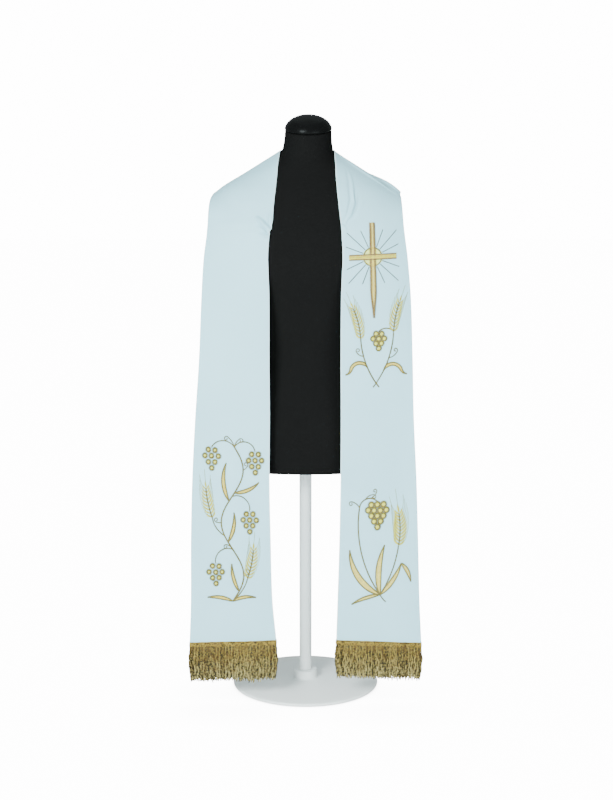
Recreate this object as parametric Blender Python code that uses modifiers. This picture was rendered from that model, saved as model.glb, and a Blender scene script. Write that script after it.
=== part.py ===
"""A clerical stole worn by a limbless dress form, which stands on a pole and a round foot.

Run with: blender --background --python part.py

The frame has +Z up and the form facing -Y, so the wearer's left half of the stole is on +X. The
origin is the centre of the foot's underside. Tables are in millimetres, all else in metres.
"""

import math
import random

import bmesh
import bpy
from mathutils import Matrix, Vector

MM = 0.001

# --- Stole -------------------------------------------------------------------------------------
CLOTH_THICKNESS = 2.0 * MM  # face cloth, interlining and lining pressed together
CLOTH_CLEARANCE = 0.75 * MM  # from the dress form to the cloth where it lies on it
CONTACT_BLEND = 2.0 * MM  # how gently the cloth leaves the form
SEAM_GAP = 0.3 * MM  # between two pieces that are sewn, screwed or stood together

# --- Fringe ------------------------------------------------------------------------------------
HEADING_HEIGHT = 10.0 * MM
HEADING_DEPTH = 5.0 * MM
HEADING_OVERHANG = 1.5 * MM  # past the cloth at each end
STRAND_LENGTH = 68.0 * MM
STRAND_COLUMNS = 46
STRAND_ROWS = 2
STRAND_INSET = 0.35 * MM  # from the edge of its cell in the heading to the strand
STRAND_STEPS = 2
STRAND_SWAY = 1.6 * MM
STRANDS_IN_A_SWAY = 17.0
STRAND_FLARE = 1.0 * MM  # how far the outermost strands lean outwards
STRAND_SPREAD = 0.3  # how much further apart front and back rows are at the tips
STRAND_UNEVENNESS = 1.5 * MM
STRAND_SEED = 7

# --- Cap, pole and foot ------------------------------------------------------------------------
CAP_RADIUS = 46.8 * MM
CAP_RIM_HEIGHT = 6.0 * MM
CAP_HEIGHT = 30.0 * MM
CAP_SIDES = 32
POLE_RADIUS = 12.5 * MM
POLE_SIDES = 24
FLANGE_RADIUS = 45.0 * MM
FLANGE_THICKNESS = 4.0 * MM
FOOT_RADIUS = 150.0 * MM
FOOT_EDGE_HEIGHT = 7.0 * MM
FOOT_CROWN_HEIGHT = 12.0 * MM
FOOT_BEVEL_WIDTH = 18.0 * MM
FOOT_SIDES = 48
BOSS_RADIUS = 24.0 * MM
BOSS_HEIGHT = 30.0 * MM
BOSS_ROUNDING = 3.0 * MM

# --- Dress form: one row for each level --------------------------------------------------------
# centre is the level's middle along X. squareness is the superellipse exponent: 2 is an ellipse,
# more is squarer. tilt leans the level forward about its own middle, in degrees.
FORM_COLUMNS = ("height", "centre", "half_width", "front", "back", "squareness", "tilt")
FORM_LEVELS = (
    (465, 0, 160, -104, 112, 2.4, 0),  # lower edge
    (530, 0, 166, -106, 117, 2.4, 0),  # hips
    (620, 0, 150, -99, 106, 2.3, 0),
    (710, 0, 132, -93, 92, 2.2, 0),  # waist
    (800, 0, 143, -108, 98, 2.3, 0),
    (885, 0, 161, -127, 112, 2.4, 0),  # chest
    (940, 0, 174, -120, 119, 2.4, 0),
    (975, 0, 182, -109, 116, 2.4, 0),
    (998, 0, 184, -99, 110, 2.3, 0),  # shoulder points
    (1012, 0, 177, -92, 105, 2.2, 0),
    (1025, 0, 163, -85, 99, 2.1, 0),
    (1040, 0.5, 139, -76, 92, 2.0, 0),
    (1055, 1.5, 112, -67, 84, 2.0, 0),
    (1070, 2.5, 84, -60, 75, 2.0, 0),
    (1082, 3.5, 63, -55, 66, 2.0, 0),
    (1092, 4, 53, -53, 60, 2.0, 1),  # foot of the neck
    (1104, 4.5, 49.5, -52, 54, 2.0, 4),
    (1120, 5, 47, -53, 47, 2.0, 8),
    (1138, 5.5, 45.8, -55, 40, 2.0, 12),  # under the cap
)
FORM_SIDES = 32
LONGEST_FORM_STEP = 50.0  # millimetres of height between two rows of faces

# --- Stole: one row for each section across the band ---------------------------------------------
# station runs along the band from the hem to the seam at the nape. inner is the edge beside the
# neck, outer the other edge, each given for the +X side. bow lifts the middle of the section.
BAND_COLUMNS = ("station", "inner_x", "inner_y", "inner_z", "outer_x", "outer_y", "outer_z", "bow")
LEFT_SECTIONS = (
    (0, 62, -121, 131, 232, -110, 122, 1.5),  # hem
    (85, 64.5, -121, 215, 227.5, -109, 208, 2),
    (210, 68, -121, 339, 223.5, -107, 334, 2.5),
    (330, 69.8, -121, 460, 219, -105, 456, 3),
    (450, 70, -121, 580, 212.5, -102, 577, 3.5),
    (570, 69, -121, 699, 208.8, -99, 696, 4),
    (690, 69.5, -121, 816, 204.5, -95, 813, 4.5),
    (765, 71.5, -119, 893, 198, -90, 889, 5),  # chest
    (818, 70, -115, 945, 192, -79, 937, 5),
    (838, 68, -110, 965, 190, -73, 956, 5),  # inner edge turns towards the neck
    (872, 64, -94, 998, 188.5, -60, 981, 4),
    (905, 61, -77, 1028, 187.5, -40, 999, 3),
    (945, 57, -40, 1070, 186.5, -18, 1009, 2),
    (985, 55, -4, 1094, 185, 6, 1012, 1),  # crest of the shoulder
    (1020, 52, 18, 1097, 177, 38, 1008, 1),
    (1058, 42, 39, 1099, 157, 72, 999, 1),
    (1100, 23, 52, 1100, 118, 98, 988, 1),
    (1142, 10, 57, 1100, 60, 112, 980, 1),
    (1180, 0, 58, 1100, 0, 116, 977, 1),  # seam at the nape
)
RIGHT_SECTIONS = (
    (0, 59, -121, 131, 232, -110, 122, 1.5),
    (85, 66.5, -121, 215, 228.5, -109, 208, 2),
    (210, 69.5, -121, 339, 227, -107, 334, 2.5),
    (330, 71.5, -121, 460, 223.5, -105, 456, 3),
    (450, 70.5, -121, 580, 216.5, -102, 577, 3.5),
    (570, 70.8, -121, 699, 207.5, -99, 696, 4),
    (690, 70.4, -121, 816, 201.8, -95, 813, 4.5),
    (765, 72, -119, 893, 197, -90, 889, 5),
    (818, 69, -115, 945, 191, -79, 937, 5),
    (838, 63.8, -110, 965, 189.5, -73, 956, 5),
    (872, 61, -94, 998, 188.5, -60, 981, 4),
    (905, 57.5, -77, 1028, 187, -40, 998, 3),
    (945, 52.5, -40, 1070, 184, -18, 1008, 2),
    (985, 49.5, -4, 1094, 178.5, 6, 1014, 1),
    (1020, 46, 18, 1097, 170, 38, 1011, 1),
    (1058, 36, 38, 1099, 152, 72, 1001, 1),
    (1100, 19, 52, 1100, 116, 98, 988, 1),
    (1142, 6, 57, 1100, 60, 112, 980, 1),
    (1180, 0, 58, 1100, 0, 116, 977, 1),
)
LONGEST_HANGING_STEP = 62.0  # millimetres between two rows of faces where the band hangs straight
LONGEST_SHAPED_STEP = 9.5  # and where it goes over the shoulder and round the neck
SHAPED_FROM = 765.0
ACROSS = (0, 0.05, 0.11, 0.18, 0.26, 0.36, 0.47, 0.59, 0.71, 0.82, 0.92, 1)

# --- Stole: largest folds, soft ridges between two places on the band ----------------------------
FOLD_COLUMNS = ("start", "start_across", "end", "end_across", "half_width", "height")
LEFT_FOLDS = (
    (836, 0.02, 925, 0.14, 7, 3.5),
    (842, 0.08, 905, 0.26, 7, 2.2),
    (966, 0.45, 978, 1.0, 8, -2.5),  # the dip before the shoulder's crest
    (1000, 0.55, 1012, 0.97, 13, 6),  # the back stands up behind it
)
RIGHT_FOLDS = (
    (828, 0.02, 852, 0.17, 6, 2.8),
    (866, 0.12, 940, 0.13, 7, 1.8),
)


def table(columns, rows):
    """The rows of a table, each a dictionary keyed by the column names."""
    return [dict(zip(columns, row)) for row in rows]


def row_at(rows, key, at):
    """The row at a place along column key, on a smooth curve through the rows either side of it."""
    last = len(rows) - 1
    i = min(max(sum(row[key] <= at for row in rows) - 1, 0), last - 1)
    before, low, high, after = (rows[min(max(k, 0), last)] for k in (i - 1, i, i + 1, i + 2))
    span = high[key] - low[key]
    share = min(max((at - low[key]) / span, 0.0), 1.0)
    square = share**2
    cube = share**3
    found = {}
    for name in low:
        slope_at_low = (high[name] - before[name]) / (high[key] - before[key])
        slope_at_high = (after[name] - low[name]) / (after[key] - low[key])
        found[name] = (
            (2 * cube - 3 * square + 1) * low[name]
            + (cube - 2 * square + share) * span * slope_at_low
            + (3 * square - 2 * cube) * high[name]
            + (cube - square) * span * slope_at_high
        )
    return found


def places_between(rows, key, longest_step):
    """The rows' own places along column key, with more between two that are far apart."""
    found = []
    for low, high in zip(rows, rows[1:]):
        pieces = math.ceil((high[key] - low[key]) / longest_step(low[key]))
        found += [low[key] + (high[key] - low[key]) * k / pieces for k in range(pieces)]
    return found + [rows[-1][key]]


def clear_scene():
    """Remove every object, so that only the model is in the scene."""
    for obj in list(bpy.data.objects):
        bpy.data.objects.remove(obj)


def new_material(name, colour, roughness, metallic=0.0):
    """A Principled material."""
    made = bpy.data.materials.new(name)
    made.use_nodes = True
    shader = made.node_tree.nodes["Principled BSDF"]
    shader.inputs["Base Color"].default_value = (*colour, 1.0)
    shader.inputs["Roughness"].default_value = roughness
    shader.inputs["Metallic"].default_value = metallic
    return made


def new_object(name, bm, collection, finish):
    """An object in the collection, made from a bmesh that is then freed."""
    mesh = bpy.data.meshes.new(name)
    bm.to_mesh(mesh)
    bm.free()
    mesh.materials.append(finish)
    mesh.shade_smooth()
    mesh.set_sharp_from_angle(angle=math.radians(40))
    obj = bpy.data.objects.new(name, mesh)
    collection.objects.link(obj)
    return obj


def new_turned_object(name, profile, sides, collection, finish):
    """A solid turned about its own Z axis from (radius, height) points, given top to bottom."""
    bm = bmesh.new()
    points = [bm.verts.new((radius, 0.0, height)) for radius, height in profile]
    for upper, lower in zip(points, points[1:]):
        bm.edges.new((upper, lower))
    obj = new_object(name, bm, collection, finish)
    screw = obj.modifiers.new("Turn", "SCREW")
    screw.steps = sides
    screw.render_steps = sides
    screw.use_merge_vertices = True
    screw.merge_threshold = 0.0001
    screw.use_smooth_shade = True
    return obj


def arc(centre_radius, centre_height, radius, height, first_deg, last_deg, steps):
    """Points on a quarter or half ellipse for a turned profile."""
    points = []
    for k in range(steps + 1):
        angle = math.radians(first_deg + (last_deg - first_deg) * k / steps)
        points.append((centre_radius + radius * math.cos(angle), centre_height + height * math.sin(angle)))
    return points


# --- The dress form ----------------------------------------------------------------------------
FORM = table(FORM_COLUMNS, FORM_LEVELS)
FORM_BOTTOM = FORM[0]["height"] * MM


def form_level(height):
    """The form's section at a height: its centre, half sizes along X and Y, exponent and tilt."""
    row = row_at(FORM, "height", height / MM)
    centre = Vector((row["centre"], (row["front"] + row["back"]) / 2)) * MM
    half_sizes = Vector((row["half_width"], (row["back"] - row["front"]) / 2)) * MM
    return centre, half_sizes, row["squareness"], math.radians(row["tilt"])


def form_share(point):
    """How far out a point is in its level of the form: 1 on the surface, less inside."""
    centre, half_sizes, exponent, _ = form_level(point.z)
    across = abs(point.x - centre.x) / half_sizes.x
    along = abs(point.y - centre.y) / half_sizes.y
    return (across**exponent + along**exponent) ** (1 / exponent)


def form_distance(point):
    """A point's distance from the form's surface, closely, and the direction straight out of it."""
    step = 0.5 * MM
    slope = Vector()
    for axis in range(3):
        offset = Vector()
        offset[axis] = step
        slope[axis] = (form_share(point + offset) - form_share(point - offset)) / (2 * step)
    return (form_share(point) - 1) / slope.length, slope.normalized()


def form_level_points(height):
    """The corners of one level of the form, anticlockwise from above."""
    centre, half_sizes, exponent, tilt = form_level(height)
    points = []
    for k in range(FORM_SIDES):
        angle = 2 * math.pi * k / FORM_SIDES
        cosine = math.cos(angle)
        sine = math.sin(angle)
        x = half_sizes.x * math.copysign(abs(cosine) ** (2 / exponent), cosine)
        y = half_sizes.y * math.copysign(abs(sine) ** (2 / exponent), sine)
        points.append((centre.x + x, centre.y + y, height + y * math.tan(tilt)))
    return points


def make_dress_form(collection, finish):
    """The torso and neck, lofted through the levels and closed at both ends."""
    bm = bmesh.new()
    heights = places_between(FORM, "height", lambda _: LONGEST_FORM_STEP)
    rows = [[bm.verts.new(point) for point in form_level_points(height * MM)] for height in heights]
    for lower, upper in zip(rows, rows[1:]):
        for k in range(FORM_SIDES):
            after = (k + 1) % FORM_SIDES
            bm.faces.new((lower[k], lower[after], upper[after], upper[k]))
    bm.faces.new(reversed(rows[0]))
    bm.faces.new(rows[-1])
    new_object("dress_form", bm, collection, finish)


def make_neck_cap(collection, finish):
    """A dome over a rounded rim, seated square on the tilted top of the neck."""
    rounding = CAP_RIM_HEIGHT / 2
    shoulder = CAP_RADIUS - rounding
    dome = arc(0.0, CAP_RIM_HEIGHT, shoulder, CAP_HEIGHT - CAP_RIM_HEIGHT, 90, 0, 6)
    rim = arc(shoulder, rounding, rounding, rounding, 90, -90, 4)
    axis_top = (0.0, CAP_HEIGHT)
    profile = [axis_top] + dome[1:] + rim[1:] + [(0.0, 0.0)]
    cap = new_turned_object("neck_cap", profile, CAP_SIDES, collection, finish)
    neck_top = FORM[-1]["height"] * MM
    centre, _, _, tilt = form_level(neck_top)
    leaning = Matrix.Rotation(tilt, 4, "X")
    cap.location = Vector((*centre, neck_top)) + leaning @ Vector((0.0, 0.0, SEAM_GAP))
    cap.rotation_euler.x = tilt


# --- The stand ---------------------------------------------------------------------------------
def make_pole(collection, finish):
    """A pole with a flange that carries the form."""
    top = FORM_BOTTOM - SEAM_GAP
    under_flange = top - FLANGE_THICKNESS
    bottom = BOSS_HEIGHT + SEAM_GAP
    profile = (
        (0.0, top),
        (FLANGE_RADIUS, top),
        (FLANGE_RADIUS, under_flange),
        (POLE_RADIUS, under_flange),
        (POLE_RADIUS, bottom),
        (0.0, bottom),
    )
    new_turned_object("pole", profile, POLE_SIDES, collection, finish)


def make_foot(collection, finish):
    """A low round foot with a rounded edge and a boss under the pole."""
    rounding = FOOT_EDGE_HEIGHT / 2
    profile = [
        (0.0, BOSS_HEIGHT),
        (BOSS_RADIUS - BOSS_ROUNDING, BOSS_HEIGHT),
        (BOSS_RADIUS, BOSS_HEIGHT - BOSS_ROUNDING),
        (BOSS_RADIUS, FOOT_CROWN_HEIGHT + BOSS_ROUNDING),
        (BOSS_RADIUS + BOSS_ROUNDING, FOOT_CROWN_HEIGHT),
        (FOOT_RADIUS - FOOT_BEVEL_WIDTH, (FOOT_CROWN_HEIGHT + FOOT_EDGE_HEIGHT) / 2),
    ]
    profile += arc(FOOT_RADIUS - rounding, rounding, rounding, rounding, 90, -90, 4)
    profile.append((0.0, 0.0))
    new_turned_object("foot", profile, FOOT_SIDES, collection, finish)


# --- The stole ---------------------------------------------------------------------------------
class Half:
    """One half of the stole, with side +1 for the wearer's left and -1 for the right."""

    def __init__(self, name, side, sections, folds):
        self.name = name
        self.side = side
        self.sections = table(BAND_COLUMNS, sections)
        self.folds = table(FOLD_COLUMNS, folds)
        self.length = self.sections[-1]["station"]

    def edges(self, station):
        """The places of the inner and outer edge at a station, in metres, on the +X side."""
        row = row_at(self.sections, "station", min(max(station, 0.0), self.length))
        inner = Vector((row["inner_x"], row["inner_y"], row["inner_z"])) * MM
        outer = Vector((row["outer_x"], row["outer_y"], row["outer_z"])) * MM
        return inner, outer, row["bow"]

    def fold_height(self, station, across, width):
        """The height in millimetres that the folds add at a place on the band."""
        total = 0.0
        for fold in self.folds:
            start = Vector((fold["start"], fold["start_across"] * width))
            run = Vector((fold["end"], fold["end_across"] * width)) - start
            place = Vector((station, across * width)) - start
            share = min(max(place.dot(run) / run.length_squared, 0.0), 1.0)
            aside = (place - run * share).length / fold["half_width"]
            taper = math.sin(math.pi * (0.15 + 0.7 * share))
            total += fold["height"] * taper * math.exp(-(aside**2))
        return total

    def inside_point(self, station, across):
        """A point of the cloth's inside, kept clear of the dress form."""
        inner, outer, bow = self.edges(station)
        width = (outer - inner).length / MM
        ahead = sum(self.edges(station + 5)[:2], Vector())
        behind = sum(self.edges(station - 5)[:2], Vector())
        outward = (outer - inner).cross(ahead - behind).normalized()
        lift = bow * 4 * across * (1 - across) + self.fold_height(station, across, width)
        point = inner.lerp(outer, across) + outward * lift * MM
        point.x *= self.side
        distance, out_of_form = form_distance(point)
        excess = distance - CLOTH_CLEARANCE
        wanted = CLOTH_CLEARANCE + (excess + math.hypot(excess, CONTACT_BLEND)) / 2
        for _ in range(3):
            point = point + out_of_form * (wanted - distance)
            distance, out_of_form = form_distance(point)
        if station == self.length:
            point.x = self.side * SEAM_GAP / 2
        return point

    def stations(self):
        """The stations of the rows of faces, closer together where the band is shaped."""

        def longest_step(station):
            return LONGEST_SHAPED_STEP if station >= SHAPED_FROM else LONGEST_HANGING_STEP

        return places_between(self.sections, "station", longest_step)


def make_half(half, collection, finish):
    """The cloth of one half: its inside surface, given its thickness outwards."""
    bm = bmesh.new()
    rows = []
    for station in half.stations():
        rows.append([bm.verts.new(half.inside_point(station, across)) for across in ACROSS])
    for lower, upper in zip(rows, rows[1:]):
        for k in range(len(ACROSS) - 1):
            corners = (lower[k], lower[k + 1], upper[k + 1], upper[k])
            bm.faces.new(corners if half.side > 0 else reversed(corners))
    obj = new_object(half.name, bm, collection, finish)
    wall = obj.modifiers.new("Wall", "SOLIDIFY")
    wall.thickness = CLOTH_THICKNESS
    wall.offset = 1.0
    wall.use_even_offset = True


def make_fringe(name, half, collection, finish):
    """A narrow heading under the hem, with the strands drawn out of its underside."""
    random.seed(STRAND_SEED + half.side)
    inner = half.inside_point(0.0, 0.0)
    outer = half.inside_point(0.0, 1.0)
    along = (outer - inner).normalized() * half.side
    forward = along.cross(Vector((0.0, 0.0, 1.0))).normalized()
    up = forward.cross(along).normalized()
    length = (outer - inner).length + 2 * HEADING_OVERHANG
    hem_middle = (inner + outer) / 2 + forward * CLOTH_THICKNESS / 2
    heading_foot = hem_middle - up * (SEAM_GAP + HEADING_HEIGHT)
    placing = Matrix((along * length, -forward * HEADING_DEPTH, up)).transposed().to_4x4()
    placing.translation = heading_foot

    bm = bmesh.new()
    bmesh.ops.create_grid(bm, x_segments=STRAND_COLUMNS, y_segments=STRAND_ROWS, size=0.5, matrix=placing)
    roots = list(bm.faces)
    extruded = bmesh.ops.extrude_face_region(bm, geom=roots, use_keep_orig=True)["geom"]
    top = [item for item in extruded if isinstance(item, bmesh.types.BMVert)]
    bmesh.ops.translate(bm, verts=top, vec=up * HEADING_HEIGHT)
    starts = [root.calc_center_median() for root in roots]
    bmesh.ops.inset_individual(bm, faces=roots, thickness=STRAND_INSET, use_even_offset=True)
    for root, start in zip(roots, starts):
        sideways = (start - heading_foot).dot(along) / length
        row = (start - heading_foot).dot(forward)
        phase = sideways * STRAND_COLUMNS / STRANDS_IN_A_SWAY
        reach = STRAND_LENGTH + random.uniform(-STRAND_UNEVENNESS, STRAND_UNEVENNESS)
        end = root
        for step in range(1, STRAND_STEPS + 1):
            share = step / STRAND_STEPS
            lean = STRAND_SWAY * math.sin(2 * math.pi * (phase + 0.6 * share))
            lean += STRAND_FLARE * (2 * sideways) ** 3
            place = start + along * lean * share + forward * row * STRAND_SPREAD * share
            place.z -= reach * share
            end = bmesh.ops.extrude_discrete_faces(bm, faces=[end])["faces"][0]
            bmesh.ops.translate(bm, verts=end.verts, vec=place - end.calc_center_median())
    bm.normal_update()
    bmesh.ops.recalc_face_normals(bm, faces=bm.faces)
    new_object(name, bm, collection, finish)


def main():
    """Build the stole, the dress form under it and the stand."""
    clear_scene()
    collection = bpy.data.collections.new("stole_on_dress_form")
    bpy.context.scene.collection.children.link(collection)
    cloth = new_material("ice_white_cloth", (0.63, 0.74, 0.77), 0.55)
    gold = new_material("gold_bullion", (0.50, 0.38, 0.14), 0.40, metallic=0.6)
    jersey = new_material("black_jersey", (0.013, 0.014, 0.015), 0.85)
    lacquer = new_material("black_lacquer", (0.010, 0.010, 0.011), 0.25)
    steel = new_material("white_steel", (0.85, 0.85, 0.85), 0.35)

    make_dress_form(collection, jersey)
    make_neck_cap(collection, lacquer)
    make_pole(collection, steel)
    make_foot(collection, steel)
    left = Half("left_half", 1, LEFT_SECTIONS, LEFT_FOLDS)
    right = Half("right_half", -1, RIGHT_SECTIONS, RIGHT_FOLDS)
    make_half(left, collection, cloth)
    make_half(right, collection, cloth)
    make_fringe("left_fringe", left, collection, gold)
    make_fringe("right_fringe", right, collection, gold)


main()
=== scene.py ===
import logging
import math
from dataclasses import dataclass, field
from enum import Enum
from typing import Any, Sequence

import bpy
import numpy as np
from mathutils import Matrix, Vector


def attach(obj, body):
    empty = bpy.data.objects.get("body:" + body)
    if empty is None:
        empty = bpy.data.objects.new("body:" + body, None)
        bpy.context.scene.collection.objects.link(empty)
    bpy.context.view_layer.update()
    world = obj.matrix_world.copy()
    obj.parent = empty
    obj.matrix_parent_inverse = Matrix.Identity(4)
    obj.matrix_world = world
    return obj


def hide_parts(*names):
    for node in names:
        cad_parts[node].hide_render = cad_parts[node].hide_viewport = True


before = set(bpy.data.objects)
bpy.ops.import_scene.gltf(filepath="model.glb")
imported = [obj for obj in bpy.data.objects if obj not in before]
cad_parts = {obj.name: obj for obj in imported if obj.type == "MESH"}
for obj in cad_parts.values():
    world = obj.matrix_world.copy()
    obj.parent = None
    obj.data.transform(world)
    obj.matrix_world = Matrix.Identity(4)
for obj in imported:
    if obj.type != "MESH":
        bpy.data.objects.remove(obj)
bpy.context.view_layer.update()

BODY = "root"
MM = 0.001
LOG = logging.getLogger("stole")

Point = tuple[float, float]
Place = tuple[float, float, float]
Colour = tuple[float, float, float]
Face = tuple[int, ...]
Cord = tuple[np.ndarray, np.ndarray, np.ndarray, float]


# ---- The stole's and the form's shape, in millimetres ----
# centre is the level's middle along X. squareness is the superellipse exponent. tilt is in degrees.
FORM_COLUMNS = "height centre half_width front back squareness tilt"
FORM_LEVELS = (
    (465, 0, 160, -104, 112, 2.4, 0),
    (530, 0, 166, -106, 117, 2.4, 0),
    (620, 0, 150, -99, 106, 2.3, 0),
    (710, 0, 132, -93, 92, 2.2, 0),
    (800, 0, 143, -108, 98, 2.3, 0),
    (885, 0, 161, -127, 112, 2.4, 0),
    (940, 0, 174, -120, 119, 2.4, 0),
    (975, 0, 182, -109, 116, 2.4, 0),
    (998, 0, 184, -99, 110, 2.3, 0),
    (1012, 0, 177, -92, 105, 2.2, 0),
    (1025, 0, 163, -85, 99, 2.1, 0),
    (1040, 0.5, 139, -76, 92, 2.0, 0),
    (1055, 1.5, 112, -67, 84, 2.0, 0),
    (1070, 2.5, 84, -60, 75, 2.0, 0),
    (1082, 3.5, 63, -55, 66, 2.0, 0),
    (1092, 4, 53, -53, 60, 2.0, 1),
    (1104, 4.5, 49.5, -52, 54, 2.0, 4),
    (1120, 5, 47, -53, 47, 2.0, 8),
    (1138, 5.5, 45.8, -55, 40, 2.0, 12),
)
BAND_COLUMNS = "station inner_x inner_y inner_z outer_x outer_y outer_z bow"
LEFT_SECTIONS = (
    (0, 62, -121, 131, 232, -110, 122, 2.3),
    (85, 64.5, -121, 215, 227.5, -109, 208, 2),
    (210, 68, -121, 339, 223.5, -107, 334, 2.5),
    (330, 69.8, -121, 460, 219, -105, 456, 3),
    (450, 70, -121, 580, 212.5, -102, 577, 3.5),
    (570, 69, -121, 699, 208.8, -99, 696, 4),
    (690, 69.5, -121, 816, 204.5, -95, 813, 4.5),
    (765, 71.5, -119, 893, 198, -90, 889, 5),
    (818, 70, -115, 945, 192, -79, 937, 5),
    (838, 68, -110, 965, 190, -73, 956, 5),
    (872, 64, -94, 998, 188.5, -60, 981, 4),
    (905, 61, -77, 1028, 187.5, -40, 999, 3),
    (945, 57, -40, 1070, 186.5, -18, 1009, 2),
    (985, 55, -4, 1094, 185, 6, 1012, 1),
    (1020, 52, 18, 1097, 177, 38, 1008, 1),
    (1058, 42, 39, 1099, 157, 72, 999, 1),
    (1100, 23, 52, 1100, 118, 98, 988, 1),
    (1142, 10, 57, 1100, 60, 112, 980, 1),
    (1180, 0, 58, 1100, 0, 116, 977, 1),
)
RIGHT_SECTIONS = (
    (0, 59, -121, 131, 232, -110, 122, 2.3),
    (85, 66.5, -121, 215, 228.5, -109, 208, 2),
    (210, 69.5, -121, 339, 227, -107, 334, 2.5),
    (330, 71.5, -121, 460, 223.5, -105, 456, 3),
    (450, 70.5, -121, 580, 216.5, -102, 577, 3.5),
    (570, 70.8, -121, 699, 207.5, -99, 696, 4),
    (690, 70.4, -121, 816, 201.8, -95, 813, 4.5),
    (765, 72, -119, 893, 197, -90, 889, 5),
    (818, 69, -115, 945, 191, -79, 937, 5),
    (822.5, 66.2, -113.9, 949.5, 190.7, -77.7, 941.3, 5),
    (838, 63.8, -110, 965, 189.5, -73, 956, 5),
    (872, 61, -94, 998, 188.5, -60, 981, 4),
    (905, 57.5, -77, 1028, 187, -40, 998, 3),
    (945, 52.5, -40, 1070, 184, -18, 1008, 2),
    (985, 49.5, -4, 1094, 178.5, 6, 1014, 1),
    (1020, 46, 18, 1097, 170, 38, 1011, 1),
    (1058, 36, 38, 1099, 152, 72, 1001, 1),
    (1100, 19, 52, 1100, 116, 98, 988, 1),
    (1142, 6, 57, 1100, 60, 112, 980, 1),
    (1180, 0, 58, 1100, 0, 116, 977, 1),
)
CLOTH_THICKNESS = 2.0
CLOTH_CLEARANCE = 0.75
CONTACT_BLEND = 2.0
SEAM_GAP = 0.3


@dataclass(frozen=True)
class Crease:
    """A soft ridge or trough along a line on the band.

    points are (station in millimetres, share of the width), height is negative for a trough.
    """

    points: tuple[Point, ...]
    half_width: float
    height: float


LEFT_CREASES = (
    Crease(((945, 0.15), (915, 0.165), (880, 0.16), (852, 0.10), (834, 0.02)), 3.2, -5.0),
    Crease(((935, 0.21), (905, 0.22), (872, 0.21), (855, 0.155), (838, 0.05)), 3.4, 6.6),
    Crease(((905, 0.29), (885, 0.285), (864, 0.26), (848, 0.18), (838, 0.09)), 3.0, -4.0),
    Crease(((900, 0.35), (872, 0.33), (852, 0.25)), 4.5, 1.8),
    Crease(((833, 0.0), (829, 0.03), (822, 0.06)), 2.4, 2.4),
    Crease(((985, 0.12), (972, 0.3), (962, 0.5), (950, 0.72), (938, 0.92)), 6.0, 3.2),
    Crease(((991, 0.2), (980, 0.4), (972, 0.6), (960, 0.83), (955, 0.95)), 5.0, -9.0),
    Crease(((996, 0.62), (990, 0.85), (980, 1.04)), 9.0, 7.4),
    Crease(((905, 0.45), (870, 0.56), (830, 0.60)), 24.0, 1.5),
    Crease(((1062, 0.12), (1070, 0.45), (1060, 0.8)), 9.0, 2.2),
    Crease(((1118, 0.05), (1110, 0.4), (1116, 0.7)), 8.0, 1.9),
    Crease(((1160, 0.1), (1156, 0.35)), 7.0, 1.4),
    Crease(((640, 0.1), (560, 0.2), (430, 0.16)), 26.0, 1.4),
    Crease(((520, 0.85), (380, 0.78), (240, 0.86)), 24.0, -1.6),
    Crease(((300, 0.3), (160, 0.36), (20, 0.32)), 22.0, 1.8),
)
RIGHT_CREASES = (
    Crease(((815, 0.0), (818, 0.045), (824, 0.10), (833, 0.215)), 2.0, -7.0),
    Crease(((821, 0.0), (827, 0.06), (835, 0.13), (845, 0.22)), 2.8, 9.0),
    Crease(((809, 0.01), (811, 0.06), (815, 0.14)), 3.0, 5.5),
    Crease(((829, 0.02), (838, 0.055), (852, 0.085)), 1.8, -3.4),
    Crease(((832, 0.0), (845, 0.03), (858, 0.04)), 2.2, 3.0),
    Crease(((962, 0.07), (905, 0.10), (852, 0.145)), 4.5, 2.2),
    Crease(((880, 0.3), (915, 0.42), (950, 0.55)), 18.0, -1.8),
    Crease(((955, 0.6), (925, 0.75), (880, 0.82)), 20.0, 1.7),
    Crease(((1050, 0.15), (1062, 0.5), (1050, 0.78)), 10.0, 2.0),
    Crease(((1108, 0.06), (1100, 0.36), (1108, 0.62)), 8.0, 2.0),
    Crease(((1150, 0.12), (1148, 0.45)), 8.0, 1.3),
    Crease(((700, 0.2), (600, 0.14), (480, 0.22)), 24.0, 1.3),
    Crease(((500, 0.8), (360, 0.88), (220, 0.8)), 26.0, -1.5),
    Crease(((260, 0.42), (140, 0.36), (16, 0.44)), 22.0, 1.7),
)


class Table:
    """Rows of numbers with named columns, read between rows on a smooth curve."""

    def __init__(self, columns: str, rows: Sequence[Sequence[float]]) -> None:
        """Keep the rows; the first column is the one that places are looked up in.

        Args:
            columns: the columns' names, with spaces between.
            rows: the numbers.
        """
        self.columns = columns.split()
        self.rows = np.array(rows, float)
        self.key = self.rows[:, 0]

    def at(self, places: Any) -> dict[str, np.ndarray]:
        """Every column at some places along the first one.

        Args:
            places: one number or an array of them.

        Returns:
            An array for each column's name, shaped like places.
        """
        last = len(self.key) - 1
        places = np.clip(np.asarray(places, float), self.key[0], self.key[last])
        i = np.clip(np.searchsorted(self.key, places, side="right") - 1, 0, last - 1)
        before, low, high, after = (self.rows[np.clip(i + k, 0, last)] for k in (-1, 0, 1, 2))
        span = (high - low)[..., :1]
        share = (places[..., None] - low[..., :1]) / span
        slope_low = (high - before) / (high - before)[..., :1]
        slope_high = (after - low) / (after - low)[..., :1]
        square, cube = share**2, share**3
        found = (2 * cube - 3 * square + 1) * low + (cube - 2 * square + share) * span * slope_low
        found += (3 * square - 2 * cube) * high + (cube - square) * span * slope_high
        return {name: found[..., k] for k, name in enumerate(self.columns)}


def unit(vectors: np.ndarray) -> np.ndarray:
    """The vectors at length one."""
    return vectors / np.maximum(np.linalg.norm(vectors, axis=-1, keepdims=True), 1e-12)


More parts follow.
